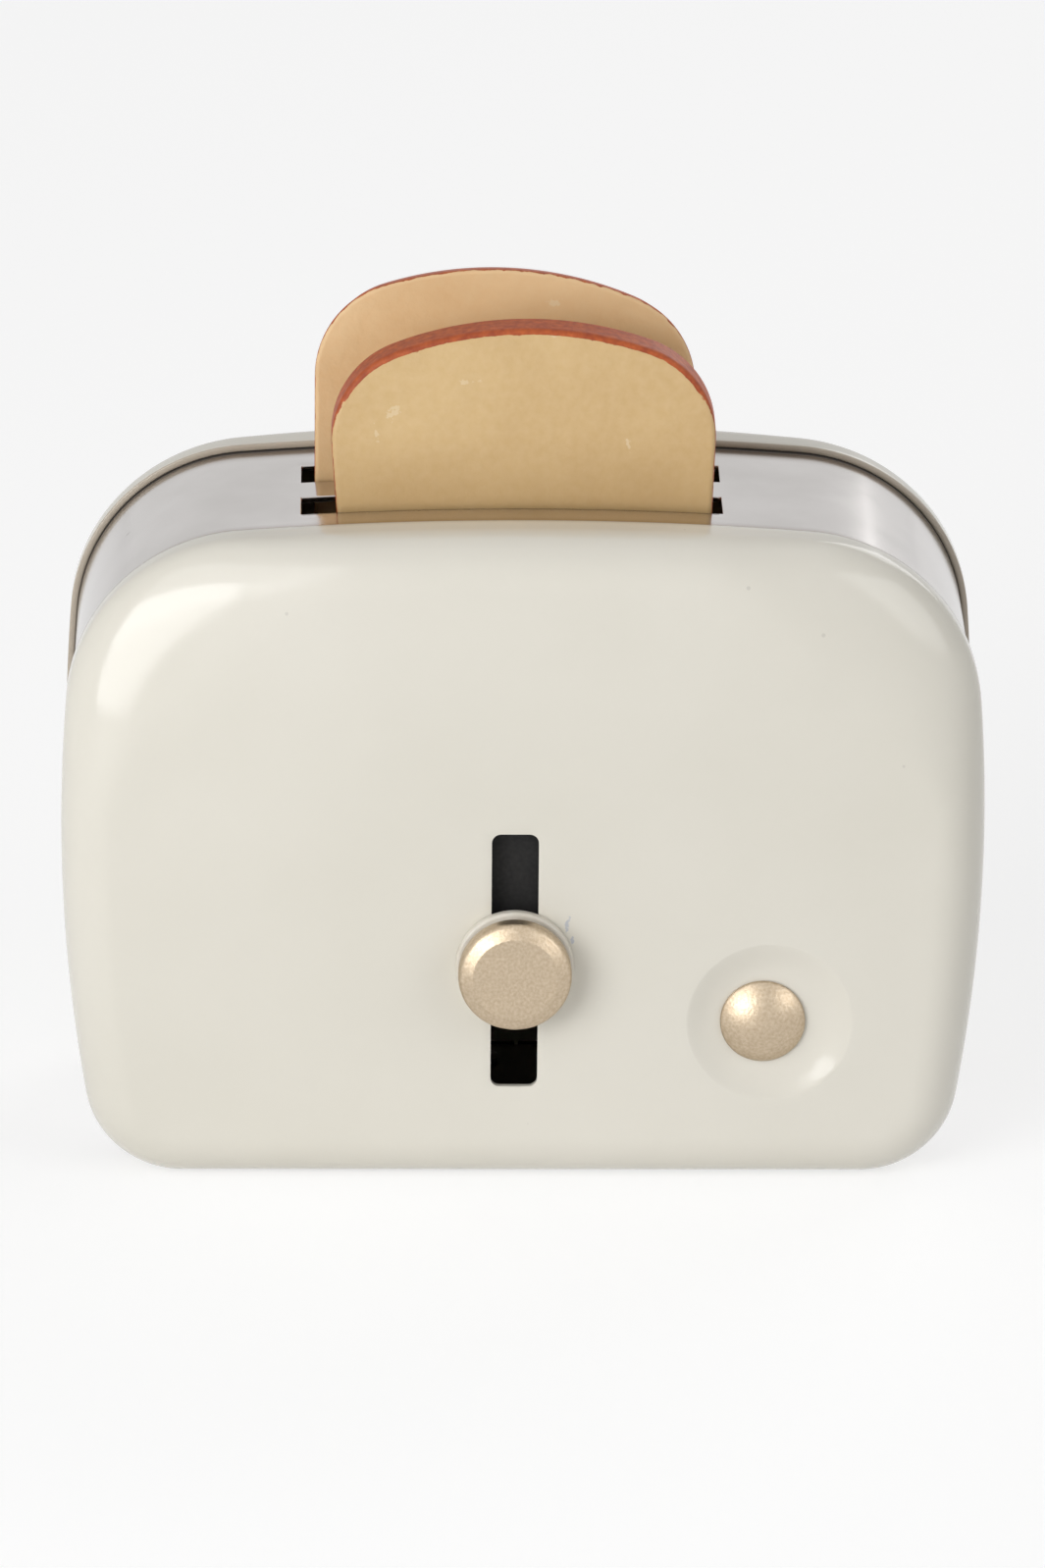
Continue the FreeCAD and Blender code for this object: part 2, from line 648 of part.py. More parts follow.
def make_guide_channel():
    """An upright channel on the inside of the back shell, open to the front."""
    body = new_body("guide_channel", "Sizes.lever_offset")
    plan = new_sketch(body, "plan", "XY_Plane", "Sizes.channel_bottom")
    add_polygon(plan, (("-Places.half_channel", "Places.face_inside"),
                       ("-Places.half_channel", "Places.channel_front_behind"),
                       ("-Places.half_channel_inside", "Places.channel_front_behind"),
                       ("-Places.half_channel_inside", "Places.channel_base_behind"),
                       ("Places.half_channel_inside", "Places.channel_base_behind"),
                       ("Places.half_channel_inside", "Places.channel_front_behind"),
                       ("Places.half_channel", "Places.channel_front_behind"),
                       ("Places.half_channel", "Places.face_inside")))
    pad(body, plan, "Sizes.channel_length")
    return body


def make_lever_knob():
    """A flat round knob with a rounded rim and a short hub, bored blind for the stem's tenon."""
    body = turned("lever_knob", (
        ("0", "-Places.knob_front_ahead"), ("Sizes.knob_radius", "-Places.knob_front_ahead"),
        ("Sizes.knob_radius", "-Places.knob_back_ahead"),
        ("Sizes.knob_hub_radius", "-Places.knob_back_ahead"),
        ("Sizes.knob_hub_radius", "-Places.washer_front_ahead"),
        ("Places.tenon_bore_radius", "-Places.washer_front_ahead"),
        ("Places.tenon_bore_radius", "-Places.tenon_bore_ahead"), ("0", "-Places.tenon_bore_ahead")),
        "Sizes.lever_offset", "Sizes.lever_rest_height")
    round_edges(body, "Sizes.knob_rim_radius", lies_at("Y", "-Places.knob_front_ahead"))
    rim = number("Sizes.knob_radius")

    def back_rim(edge):
        at_back = abs(edge.BoundBox.YMax + number("Places.knob_back_ahead")) < SAME
        return at_back and edge.BoundBox.YLength < SAME and abs(edge.BoundBox.XMax - rim) < SAME

    round_edges(body, "Sizes.knob_back_radius", back_rim)
    return body


def make_lever_stem():
    """The stud: a tenon in the knob, a shank through the slot, and a tail through the bracket and nut."""
    return turned("lever_stem", (
        ("0", "-Places.tenon_front_ahead"), ("Sizes.tenon_radius", "-Places.tenon_front_ahead"),
        ("Sizes.tenon_radius", "-Places.washer_front_ahead"),
        ("Sizes.stem_radius", "-Places.washer_front_ahead"),
        ("Sizes.stem_radius", "-Places.bracket_front_ahead"),
        ("Sizes.stem_tail_radius", "-Places.bracket_front_ahead"),
        ("Sizes.stem_tail_radius", "-Places.stem_end_ahead"), ("0", "-Places.stem_end_ahead")),
        "Sizes.lever_offset", "Sizes.lever_rest_height")


def make_ring(label, radius, front, back):
    """A flat washer on the lever's shank."""
    return turned(label, (
        ("Places.shank_hole_radius", front), (radius, front),
        (radius, back), ("Places.shank_hole_radius", back)),
        "Sizes.lever_offset", "Sizes.lever_rest_height")


def make_spring_washer():
    """A dished washer: its rim bears on the fibre washer and its hub on the bracket."""
    return turned("spring_washer", (
        ("Places.shank_hole_radius", "-Places.spring_washer_hub_ahead"),
        ("Sizes.spring_washer_radius", "-Places.inner_washer_back_ahead"),
        ("Sizes.spring_washer_radius", "-Places.spring_washer_rim_ahead"),
        ("Places.shank_hole_radius", "-Places.bracket_front_ahead")),
        "Sizes.lever_offset", "Sizes.lever_rest_height")


def make_lifter_bracket():
    """A strip behind the face that bends back under the tray."""
    body = new_body("lifter_bracket", "Sizes.lever_offset")
    side = new_sketch(body, "side", "YZ_Plane", "-Sizes.bracket_width / 2")
    add_polygon(side, (("-Places.bracket_front_ahead", "Places.bracket_bottom"),
                       ("-Places.bracket_back_ahead", "Places.bracket_bottom"),
                       ("-Places.bracket_back_ahead", "Places.flange_underside"),
                       ("Sizes.bracket_reach", "Places.flange_underside"),
                       ("Sizes.bracket_reach", "Places.tray_underside"),
                       ("-Places.bracket_front_ahead", "Places.tray_underside")))
    pad(body, side, "Sizes.bracket_width")

    def corner(depth, height):
        def test(edge):
            box = edge.BoundBox
            return (abs(box.YMin - depth) < SAME and box.YLength < SAME
                    and abs(box.ZMin - height) < SAME and box.ZLength < SAME)

        return test

    round_edges(body, "Sizes.bracket_bend_radius",
                corner(number("-Places.bracket_back_ahead"), number("Places.flange_underside")))
    round_edges(body, "Places.bracket_outer_bend",
                corner(number("-Places.bracket_front_ahead"), number("Places.tray_underside")))
    hole = new_sketch(body, "stem_hole", "XZ_Plane", "Places.bracket_front_ahead")
    add_circle(hole, "Places.stem_hole_radius", "0", "Sizes.lever_rest_height")
    pocket(body, hole, "2 * Sizes.bracket_wall")
    add_tray_rivet_holes(body, "Places.tray_underside")
    return body


def add_tray_rivet_holes(body, top):
    """The two holes for the tray's rivets, cut down from the named height."""
    holes = new_sketch(body, "rivet_holes", "XY_Plane", top)
    for sign in ("-", ""):
        across = number("Sizes.tray_rivet_spacing") / 2 * (-1 if sign else 1)
        along = -number("Sizes.tray_rivet_ahead")
        radius = number("Places.tray_rivet_hole_radius")
        middle = FreeCAD.Vector(across, along, 0)
        circle = holes.addGeometry(Part.Circle(middle, FreeCAD.Vector(0, 0, 1), radius))
        bind(holes, Sketcher.Constraint("Radius", circle, radius), "Places.tray_rivet_hole_radius")
        bind(holes, Sketcher.Constraint("DistanceX", -1, 1, circle, 3, across),
             f"{sign}Sizes.tray_rivet_spacing / 2")
        bind(holes, Sketcher.Constraint("DistanceY", -1, 1, circle, 3, along), "-Sizes.tray_rivet_ahead")
    pocket(body, holes, "2 * Sizes.tray_wall")


def make_toast_tray():
    """A bent sheet with a lip in front and behind, and a tail that reaches back and turns down."""
    body = new_body("toast_tray", "Sizes.lever_offset")
    side = new_sketch(body, "side", "YZ_Plane", "-Sizes.tray_length / 2")
    add_polygon(side, (("-Places.half_tray", "Places.tray_underside"),
                       ("Places.half_tray", "Places.tray_underside"),
                       ("Places.half_tray", "Places.lip_top"),
                       ("Places.half_tray_inside", "Places.lip_top"),
                       ("Places.half_tray_inside", "Sizes.tray_height"),
                       ("-Places.half_tray_inside", "Sizes.tray_height"),
                       ("-Places.half_tray_inside", "Places.lip_top"),
                       ("-Places.half_tray", "Places.lip_top")))
    pad(body, side, "Sizes.tray_length")
    tail = new_sketch(body, "tail", "YZ_Plane", "-Sizes.tail_width / 2")
    add_polygon(tail, (("Places.half_tray_inside", "Places.tray_underside"),
                       ("Places.tail_front_behind", "Places.tray_underside"),
                       ("Places.tail_front_behind", "Places.tail_bottom"),
                       ("Places.slider_front_behind", "Places.tail_bottom"),
                       ("Places.slider_front_behind", "Sizes.tray_height"),
                       ("Places.half_tray_inside", "Sizes.tray_height")))
    pad(body, tail, "Sizes.tail_width")
    add_tray_rivet_holes(body, "Sizes.tray_height")
    hole = new_sketch(body, "slider_rivet_hole", "XZ_Plane", "-Places.slider_front_behind")
    add_circle(hole, "Places.slider_hole_radius", "0", "Places.slider_middle")
    pocket(body, hole, "2 * Sizes.tray_wall", backwards=True)
    return body


def make_guide_slider():
    """The block on the tray's tail that runs in the channel, bored blind for its rivet."""
    body = new_body("guide_slider", "Sizes.lever_offset")
    plan = new_sketch(body, "plan", "XY_Plane", "Places.tail_bottom")
    add_polygon(plan, (("-Places.half_slider", "Places.slider_front_behind"),
                       ("Places.half_slider", "Places.slider_front_behind"),
                       ("Places.half_slider", "Places.slider_back_behind"),
                       ("-Places.half_slider", "Places.slider_back_behind")))
    pad(body, plan, "Sizes.slider_length")
    hole = new_sketch(body, "rivet_hole", "XZ_Plane", "-Places.slider_front_behind")
    add_circle(hole, "Places.slider_hole_radius", "0", "Places.slider_middle")
    pocket(body, hole, "Sizes.slider_rivet_depth + Sizes.thread_fit", backwards=False)
    return body


def make_slider_rivet():
    """The rivet through the tail into the block: a head in front of the tail and a plain shank."""
    return turned("slider_rivet", (
        ("0", "Places.slider_rivet_head_behind"),
        ("Sizes.slider_rivet_head_radius", "Places.slider_rivet_head_behind"),
        ("Sizes.slider_rivet_head_radius", "Places.tail_front_behind"),
        ("Sizes.slider_rivet_radius", "Places.tail_front_behind"),
        ("Sizes.slider_rivet_radius", "Places.slider_rivet_end_behind"),
        ("0", "Places.slider_rivet_end_behind")), "Sizes.lever_offset", "Places.slider_middle")


def make_tray_rivets():
    """The two rivets that hold the tray on the bracket's flange, as one group."""
    rivets = []
    for index, sign in enumerate(("-", "")):
        centre = (f"Sizes.lever_offset {sign or '+'} Sizes.tray_rivet_spacing / 2", "-Sizes.tray_rivet_ahead")
        rivets.append(rivet(f"tray_rivet_{index}", "Sizes.tray_rivet_radius", "Sizes.tray_rivet_head_radius",
                            "Sizes.tray_rivet_head_height", "Places.flange_underside", "Sizes.tray_height",
                            centre, "Z"))
    return rivet_group("tray_rivets", rivets)


def make_lever_nut():
    """A hexagonal nut behind the bracket on the stem's tail."""
    hexagon = doc.addObject("Part::Prism", "lever_nut_hexagon")
    hexagon.Polygon = 6
    hexagon.setExpression("Circumradius", "Places.nut_corner_radius")
    hexagon.setExpression("Height", "Sizes.nut_thickness")
    bore = doc.addObject("Part::Cylinder", "lever_nut_bore")
    bore.setExpression("Radius", "Places.stem_hole_radius")
    bore.setExpression("Height", "Sizes.nut_thickness")
    for piece in (hexagon, bore):
        piece.Placement.Rotation = FreeCAD.Rotation(FreeCAD.Vector(1, 0, 0), -90)
        piece.setExpression("Placement.Base.x", "Sizes.lever_offset")
        piece.setExpression("Placement.Base.y", "Places.mid_plane - Places.bracket_back_ahead")
        piece.setExpression("Placement.Base.z", "Sizes.lever_rest_height")
    nut = doc.addObject("Part::Cut", "lever_nut")
    nut.Label = "lever_nut"
    nut.Base = hexagon
    nut.Tool = bore
    return nut


def make_dial_button():
    """A domed button with a shank: the dome is an arc about a point on the axis."""
    body = new_body("dial_button", "Sizes.dial_offset", "Places.mid_plane", "Sizes.dial_height")
    sketch = new_sketch(body, "section", "XY_Plane")
    corners = (("Sizes.dial_radius", "-Places.dial_rim_ahead"),
               ("Sizes.dial_radius", "-Places.dial_back_ahead"),
               ("Sizes.dial_shank_radius", "-Places.dial_back_ahead"),
               ("Sizes.dial_shank_radius", "-Places.dial_shank_end"), ("0", "-Places.dial_shank_end"),
               ("0", "-Places.dial_front_ahead"))
    points = [FreeCAD.Vector(number(across), number(up), 0) for across, up in corners]
    lines = [sketch.addGeometry(Part.LineSegment(start, end)) for start, end in zip(points, points[1:])]
    middle = FreeCAD.Vector(0, number("-Places.dial_dome_centre"), 0)
    first = math.atan2(points[-1].y - middle.y, points[-1].x)
    last = math.atan2(points[0].y - middle.y, points[0].x)
    circle = Part.Circle(middle, FreeCAD.Vector(0, 0, 1), number("Places.dial_dome_radius"))
    dome = sketch.addGeometry(Part.ArcOfCircle(circle, first, last))
    for line, following in zip(lines, lines[1:]):
        sketch.addConstraint(Sketcher.Constraint("Coincident", line, 2, following, 1))
    sketch.addConstraint(Sketcher.Constraint("Coincident", lines[-1], 2, dome, 1))
    sketch.addConstraint(Sketcher.Constraint("Coincident", dome, 2, lines[0], 1))
    sketch.addConstraint(Sketcher.Constraint("PointOnObject", dome, 3, -2))
    for line, (across, up) in zip(lines, corners):
        place_point(sketch, line, 1, across, up)
    place_point(sketch, lines[-1], 2, *corners[-1])
    revolve(body, sketch)
    return body


def make_dial_spring_washer():
    """A dished washer between the dish's back and the clip."""
    return turned("dial_spring_washer", (
        ("Places.dial_hole_radius", "-Places.dial_washer_hub"),
        ("Sizes.dial_washer_radius", "-Places.dial_washer_front"),
        ("Sizes.dial_washer_radius", "-Places.dial_washer_rim"),
        ("Places.dial_hole_radius", "-Places.dial_washer_back")),
        "Sizes.dial_offset", "Sizes.dial_height")


def make_dial_clip():
    """The push-on clip that grips the dial's shank."""
    return turned("dial_clip", (
        ("Sizes.dial_shank_radius", "-Places.clip_front"), ("Sizes.clip_radius", "-Places.clip_front"),
        ("Sizes.clip_radius", "-Places.clip_back"), ("Sizes.dial_shank_radius", "-Places.clip_back")),
        "Sizes.dial_offset", "Sizes.dial_height")


def make_toast(label, which, place):
    """A slice: straight sides that widen upwards into round shoulders under a crowned top. It stands on the
    tray on its lower corner, rolled and leaning by its own angles, and passes its slot's middle."""
    body = new_body(label, along="0")
    sketch = new_sketch(body, "outline", "XZ_Plane", "-Sizes.toast_thickness / 2")
    height = number(f"Sizes.{which}_toast_height")
    foot = number("Places.half_toast_bottom")
    wide = number("Sizes.toast_half_width")
    shoulder = number("Sizes.toast_shoulder_radius")
    top = number("Sizes.toast_top_radius")
    shoulder_across = wide - shoulder
    top_up = height - top
    shoulder_up = top_up + math.sqrt((top - shoulder) ** 2 - shoulder_across ** 2)
    run = FreeCAD.Vector(shoulder_across - foot, shoulder_up, 0)
    lean_in = math.atan2(run.y, run.x) - math.asin(shoulder / run.Length)
    side_angle = lean_in - math.pi / 2
    top_angle = math.atan2(shoulder_up - top_up, shoulder_across)
    touch = FreeCAD.Vector(shoulder_across + shoulder * math.cos(side_angle),
                           shoulder_up + shoulder * math.sin(side_angle), 0)
    mirror = FreeCAD.Vector(-touch.x, touch.y, 0)
    foot_right = FreeCAD.Vector(foot, 0, 0)
    foot_left = FreeCAD.Vector(-foot, 0, 0)
    axis = FreeCAD.Vector(0, 0, 1)
    base = sketch.addGeometry(Part.LineSegment(foot_left, foot_right))
    right = sketch.addGeometry(Part.LineSegment(foot_right, touch))
    arcs = ((shoulder_across, shoulder_up, shoulder, side_angle, top_angle),
            (0.0, top_up, top, top_angle, math.pi - top_angle),
            (-shoulder_across, shoulder_up, shoulder, math.pi - top_angle, math.pi - side_angle))
    curves = [right]
    for across, up, radius, first, last in arcs:
        circle = Part.Circle(FreeCAD.Vector(across, up, 0), axis, radius)
        curves.append(sketch.addGeometry(Part.ArcOfCircle(circle, first, last)))
    left = sketch.addGeometry(Part.LineSegment(mirror, foot_left))
    curves.append(left)
    for curve, following in zip(curves, curves[1:]):
        sketch.addConstraint(Sketcher.Constraint("Tangent", curve, 2, following, 1))
    sketch.addConstraint(Sketcher.Constraint("Coincident", base, 2, right, 1))
    sketch.addConstraint(Sketcher.Constraint("Coincident", left, 2, base, 1))
    place_point(sketch, base, 1, "-Places.half_toast_bottom", "0")
    place_point(sketch, base, 2, "Places.half_toast_bottom", "0")
    right_shoulder, over, left_shoulder = curves[1:4]
    for curve in (right_shoulder, left_shoulder):
        bind(sketch, Sketcher.Constraint("Radius", curve, shoulder), "Sizes.toast_shoulder_radius")
    bind(sketch, Sketcher.Constraint("Radius", over, top), "Sizes.toast_top_radius")
    sketch.addConstraint(Sketcher.Constraint("PointOnObject", over, 3, -2))
    bind(sketch, Sketcher.Constraint("DistanceY", -1, 1, over, 3, top_up),
         f"Sizes.{which}_toast_height - Sizes.toast_top_radius")
    bind(sketch, Sketcher.Constraint("DistanceX", -1, 1, right_shoulder, 3, shoulder_across),
         "Sizes.toast_half_width - Sizes.toast_shoulder_radius")
    bind(sketch, Sketcher.Constraint("DistanceX", -1, 1, left_shoulder, 3, -shoulder_across),
         "Sizes.toast_shoulder_radius - Sizes.toast_half_width")
    pad(body, sketch, "Sizes.toast_thickness")
    half = number("Places.half_toast")
    front_and_back = (lies_at("Y", "-Places.half_toast"), lies_at("Y", "Places.half_toast"))
    round_edges(body, "Sizes.toast_edge_radius", lambda edge: any(test(edge) for test in front_and_back))
    roll = number(f"Sizes.{which}_toast_roll")
    lean = number(f"Sizes.{which}_toast_lean")
    turn = FreeCAD.Rotation(FreeCAD.Vector(1, 0, 0), -lean) * FreeCAD.Rotation(FreeCAD.Vector(0, 1, 0), roll)
    lift = foot * abs(math.sin(math.radians(roll))) + half * abs(math.sin(math.radians(lean)))
    stand = number("Sizes.tray_height") + number("Sizes.toast_seat_gap") + lift
    climb = number("Places.slot_middle_height") - stand
    back = number(place) - climb * math.tan(math.radians(lean))
    offset = number(f"Sizes.{which}_toast_offset")
    base_point = FreeCAD.Vector(offset, number("Places.mid_plane") + back, stand)
    body.Placement = FreeCAD.Placement(base_point, turn)
    return body


pieces = [
    make_front_shell(),
    make_shell("back_shell", front=False),
    make_centre_band(),
    make_seam_strap(),
    make_seam_rivets(),
    make_guide_channel(),
    make_lever_knob(),
    make_ring("lever_washer", "Sizes.washer_radius", "-Places.washer_front_ahead",
              "-Places.washer_back_ahead"),
    make_lever_stem(),
    make_ring("inner_washer", "Sizes.inner_washer_radius", "-Places.inner_washer_front_ahead",
              "-Places.inner_washer_back_ahead"),
    make_spring_washer(),
    make_lifter_bracket(),
    make_lever_nut(),
    make_toast_tray(),
    make_tray_rivets(),
    make_guide_slider(),
    make_slider_rivet(),
    make_dial_button(),
    make_dial_spring_washer(),
    make_dial_clip(),
    make_toast("toast_front", "front", "-Places.half_slot_spacing"),
    make_toast("toast_rear", "rear", "Places.half_slot_spacing"),
]
doc.recompute()

for thing in doc.Objects:
    if "Invalid" in thing.State or "Error" in thing.State:
        raise ValueError(f"{thing.Name} failed")
for piece in pieces:
    if piece.Shape.isNull() or not piece.Shape.isValid():
        raise ValueError(f"{piece.Label} has no sound shape")

os.makedirs("parts", exist_ok=True)
for piece in pieces:
    piece.Shape.exportStep(f"parts/{piece.Label}.step")
    box = piece.Shape.BoundBox
    print(f"{piece.Label}: {len(piece.Shape.Solids)} solid, volume {piece.Shape.Volume:.2f}, "
          f"x {box.XMin:.2f} {box.XMax:.2f}, y {box.YMin:.2f} {box.YMax:.2f}, "
          f"z {box.ZMin:.2f} {box.ZMax:.2f}")
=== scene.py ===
import math

import bpy
import numpy as np
from mathutils import Matrix, Vector
from mathutils.geometry import delaunay_2d_cdt


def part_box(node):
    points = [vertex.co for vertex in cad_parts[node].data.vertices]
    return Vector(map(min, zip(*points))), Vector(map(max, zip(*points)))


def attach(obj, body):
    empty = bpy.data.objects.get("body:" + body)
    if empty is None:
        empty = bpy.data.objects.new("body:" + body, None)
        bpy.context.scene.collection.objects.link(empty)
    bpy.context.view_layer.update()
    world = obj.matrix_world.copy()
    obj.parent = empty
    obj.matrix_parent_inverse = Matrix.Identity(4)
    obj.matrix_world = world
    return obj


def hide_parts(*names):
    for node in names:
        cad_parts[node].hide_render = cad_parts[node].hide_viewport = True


# Toy toaster in sheet metal: two enamelled shells, a tinplate band between them with two painted wooden
# slices in its slots, a pale gold lever knob on a cream washer and a pale gold dial in a pressed dish.
# Metres, +Z up, the front faces -Y.

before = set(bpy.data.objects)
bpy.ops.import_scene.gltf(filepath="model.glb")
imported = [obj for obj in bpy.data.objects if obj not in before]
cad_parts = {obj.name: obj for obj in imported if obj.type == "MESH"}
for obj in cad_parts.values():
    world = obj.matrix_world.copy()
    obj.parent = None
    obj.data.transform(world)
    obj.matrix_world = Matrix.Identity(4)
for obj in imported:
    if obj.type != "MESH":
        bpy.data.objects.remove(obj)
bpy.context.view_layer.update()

MM = 0.001

# The case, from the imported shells. FACE and RIM are how far in front of its mid plane the front shell's face
# and rim lie.
front_low, front_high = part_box("front_shell")
back_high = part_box("back_shell")[1]
band_low, band_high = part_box("centre_band")
MID_Y = (front_low.y + back_high.y) / 2
HALF_WIDTH = front_high.x
CASE_HEIGHT = front_high.z
FACE = MID_Y - front_low.y
RIM = MID_Y - front_high.y

# The case seen from the front
SIDE_RADIUS = 122.0 * MM
SIDE_CENTRE_Z = 26.0 * MM
CROWN_RADIUS = 260.0 * MM
TOP_CORNER = 13.4 * MM
LOW_CORNER = 7.0 * MM

# The shells' sheet and the rounding of its cut edges
WALL = 0.5 * MM
CUT_EDGE = 0.11 * MM
CUT_EDGE_ANGLE = math.radians(50)

# The pressed edge: how far behind the face it starts and how far in it reaches. In the top corners its reach
# and the power of its curve grow by the soft values, which fade out along a span of the outline.
EDGE_DEPTH = 3.6 * MM
EDGE_REACH = 3.6 * MM
SOFT_CORNER = 9.4 * MM
SOFT_POWER = 1.0
SOFT_SPAN = 17.5 * MM

# How far the face falls back: towards all its edges, and in the top corners past these shares of its half
# width and its height
PILLOW = 0.22 * MM
CORNER_DROP = 1.3 * MM
CORNER_START_X = 0.35
CORNER_START_Z = 0.42

# The band
BAND_INSET = 0.95 * MM
BAND_WALL = 0.45 * MM
BAND_CUT_EDGE = 0.06 * MM
BAND_SEAM_GAP = 0.3 * MM
TOAST_SLOT_LENGTH = 30.0 * MM
TOAST_SLOT_WIDTH = 3.8 * MM
TOAST_SLOT_SPACING = 7.1 * MM
TOAST_SLOT_X = -0.85 * MM
TOAST_SLOT_DROP = 0.875 * MM

# The lever's slot, knob and washer
LEVER_X = -0.6 * MM
LEVER_Z = 16.9 * MM
LEVER_SLOT_WIDTH = 3.35 * MM
LEVER_SLOT_LENGTH = 19.25 * MM
LEVER_SLOT_Z = 17.2 * MM
LEVER_SLOT_CORNER = 0.65 * MM
KNOB_HEAD = 1.9 * MM
KNOB_FLAT_RADIUS = 3.05 * MM
KNOB_BEVEL = 0.55 * MM
KNOB_HUB_RADIUS = 2.5 * MM
WASHER_BORE_RADIUS = 1.65 * MM

# The dish and the dial
DISH_X = 17.7 * MM
DISH_Z = 12.5 * MM
DISH_RADIUS = 5.85 * MM
DISH_FLOOR_RADIUS = 3.2 * MM
DISH_DEPTH = 0.8 * MM
DISH_LIP = 0.14 * MM
DISH_SHARPNESS = 0.7
DISH_MARGIN = 0.6 * MM
DIAL_HOLE = 1.3 * MM
DIAL_X = 17.2 * MM
DIAL_Z = 12.4 * MM
DIAL_RISE = 1.2 * MM
DIAL_RIM = 0.2 * MM
DIAL_SHANK_RADIUS = 1.25 * MM

# The slices, and the tray that they stand on
SLICE_HALF_WIDTH = 13.7 * MM
SLICE_HALF_FOOT = 12.6 * MM
SLICE_THICKNESS = 2.8 * MM
SLICE_TOP_RADIUS = 26.0 * MM
SLICE_SHOULDER = 7.0 * MM
SLICE_EDGE = 0.35 * MM
SLICE_MIDDLE = 0.48
SLICE_SEAT_GAP = 0.1 * MM
TRAY_HEIGHT = 32.8 * MM

# How a slice's taper and its crust's run forward over the top grow as the outline turns upward
TAPER_UPWARD = 0.6
CRUST_UPWARD = 1.6

# The slices' paint: how far behind the front edge the crust's paint ends, how softly, and the distance that
# stands for all of a face's inner part
CRUST_END = 0.17 * MM
CRUST_FADE = 0.16 * MM
FACE_INSIDE = 4 * MM

# Fineness of the meshes
OUTLINE_STEP = 0.6 * MM
ARC_STEPS = 26
WALL_SHARES = (0, 0.33, 0.67)
EDGE_RINGS = 34
NET_STEP = 0.75 * MM
DISH_COLUMNS = 120
DISH_FLOOR_RINGS = 6
DISH_SLOPE_RINGS = 14
DISH_LIP_RINGS = 8
SLOT_STEP = 0.5 * MM
SLOT_CORNER_STEPS = 7
DELAUNAY_TOLERANCE = 1e-9
BAND_STEP = 0.5 * MM
BAND_ROWS = 24
TURNED_COLUMNS = 128
SLICE_STEPS = 44
SLICE_EDGE_STEPS = 5
SLICE_SIDE_STEPS = 9
SLICE_INSETS = np.array((2.0, 1.3, 0.8, 0.45, 0.2, 0.05)) * MM
SLICE_SHARES = np.linspace(0.1, 0.8, 8)

# Worn places, each by its middle across and up and its reach across and up, in millimetres
ENAMEL_WEAR = (
    (3.15, 19.9, 0.28, 0.75),
    (3.5, 18.6, 0.16, 0.5),
)
SLICE_SCRATCHES = (
    (-9.4, 55.2, 0.5, 0.9),
    (-10.6, 53.6, 0.3, 0.7),
    (-4.0, 57.4, 0.9, 0.25),
    (2.2, 60.9, 0.7, 0.3),
    (7.4, 52.8, 0.25, 0.6),
)

# Where finishes change, as two distances each, from where a change starts to where it is full: outside the
# rim for the enamel's dull cut edge, inside it for the band's painted reflection of the shaded rims and its
# painted shade under them, and above the case's top for the slices' painted shade
DULL_EDGE = (0.16 * MM, 0.05 * MM)
PAINTED_RIM_REFLECTION = (2.4 * MM, 0.4 * MM)
PAINTED_GAP_SHADE = (0.8 * MM, 0.15 * MM)
SLICE_SHADE = (5.0 * MM, -1.5 * MM)

# The floor's tone and the room's light, each as it lights the object and as the camera and reflections see
# it, and what the floor glows by to them
FLOOR_SIZE = 6.0
FLOOR_TONE = (0.9, 0.42)
FLOOR_GLOW = 0.66
ROOM_LIGHT = (0.26, 0.9)

# The lamps: name, place, aim, width, height and power
CASE_MIDDLE = (0, 0, CASE_HEIGHT / 2)
LAMPS = (
    ("key_softbox", (-0.55, -0.75, 0.6), CASE_MIDDLE, 0.8, 0.8, 2.7),
    ("low_softbox", (-0.24, -0.30, 0.12), (-0.02, 0, 0.04), 0.23, 0.2, 0.62),
    ("fill_softbox", (0.8, -0.6, 0.5), CASE_MIDDLE, 0.6, 0.6, 2.0),
    ("top_softbox", (0.0, 0.1, 0.9), CASE_MIDDLE, 0.7, 0.7, 0.5),
    ("rear_softbox", (0.55, 0.85, 0.55), CASE_MIDDLE, 0.6, 0.6, 2.2),
)


def to_linear(red, green, blue):
    """A colour in a screen's 255 steps, as the linear colour that a shader takes."""
    steps = np.array((red, green, blue)) / 255
    linear = np.where(steps <= 0.04045, steps / 12.92, ((steps + 0.055) / 1.055) ** 2.4)
    return (*linear.tolist(), 1.0)


def smooth_step(value):
    """0 below 0, 1 above 1, and an even S between them."""
    share = np.clip(value, 0, 1)
    return share * share * (3 - 2 * share)


def build_piece(name, points, faces, body, stands_for, material, sharp=None):
    """A mesh object from an array of points and lists of faces, riding on its body."""
    mesh = bpy.data.meshes.new(name)
    mesh.from_pydata(points.tolist(), [], faces)
    mesh.update()
    mesh.shade_smooth()
    if sharp:
        mesh.set_sharp_from_angle(angle=math.radians(sharp))
    piece = bpy.data.objects.new(name, mesh)
    bpy.context.scene.collection.objects.link(piece)
    mesh.materials.append(material)
    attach(piece, body)
    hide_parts(stands_for)
    return piece


def grid_faces(rows, columns, wrap=True, wrap_rows=False, start=0, flip=False):
    """Four-sided faces between neighbouring rows of a grid whose points are numbered row by row."""
    row_count = rows if wrap_rows else rows - 1
    column_count = columns if wrap else columns - 1
    row, column = np.meshgrid(np.arange(row_count), np.arange(column_count), indexing="ij")
    next_row = (row + 1) % rows
    next_column = (column + 1) % columns
    corners = [row * columns + column, row * columns + next_column,
               next_row * columns + next_column, next_row * columns + column]
    quads = np.stack([corner.ravel() for corner in corners], axis=1) + start
    if flip:
        quads = quads[:, ::-1]
    return quads


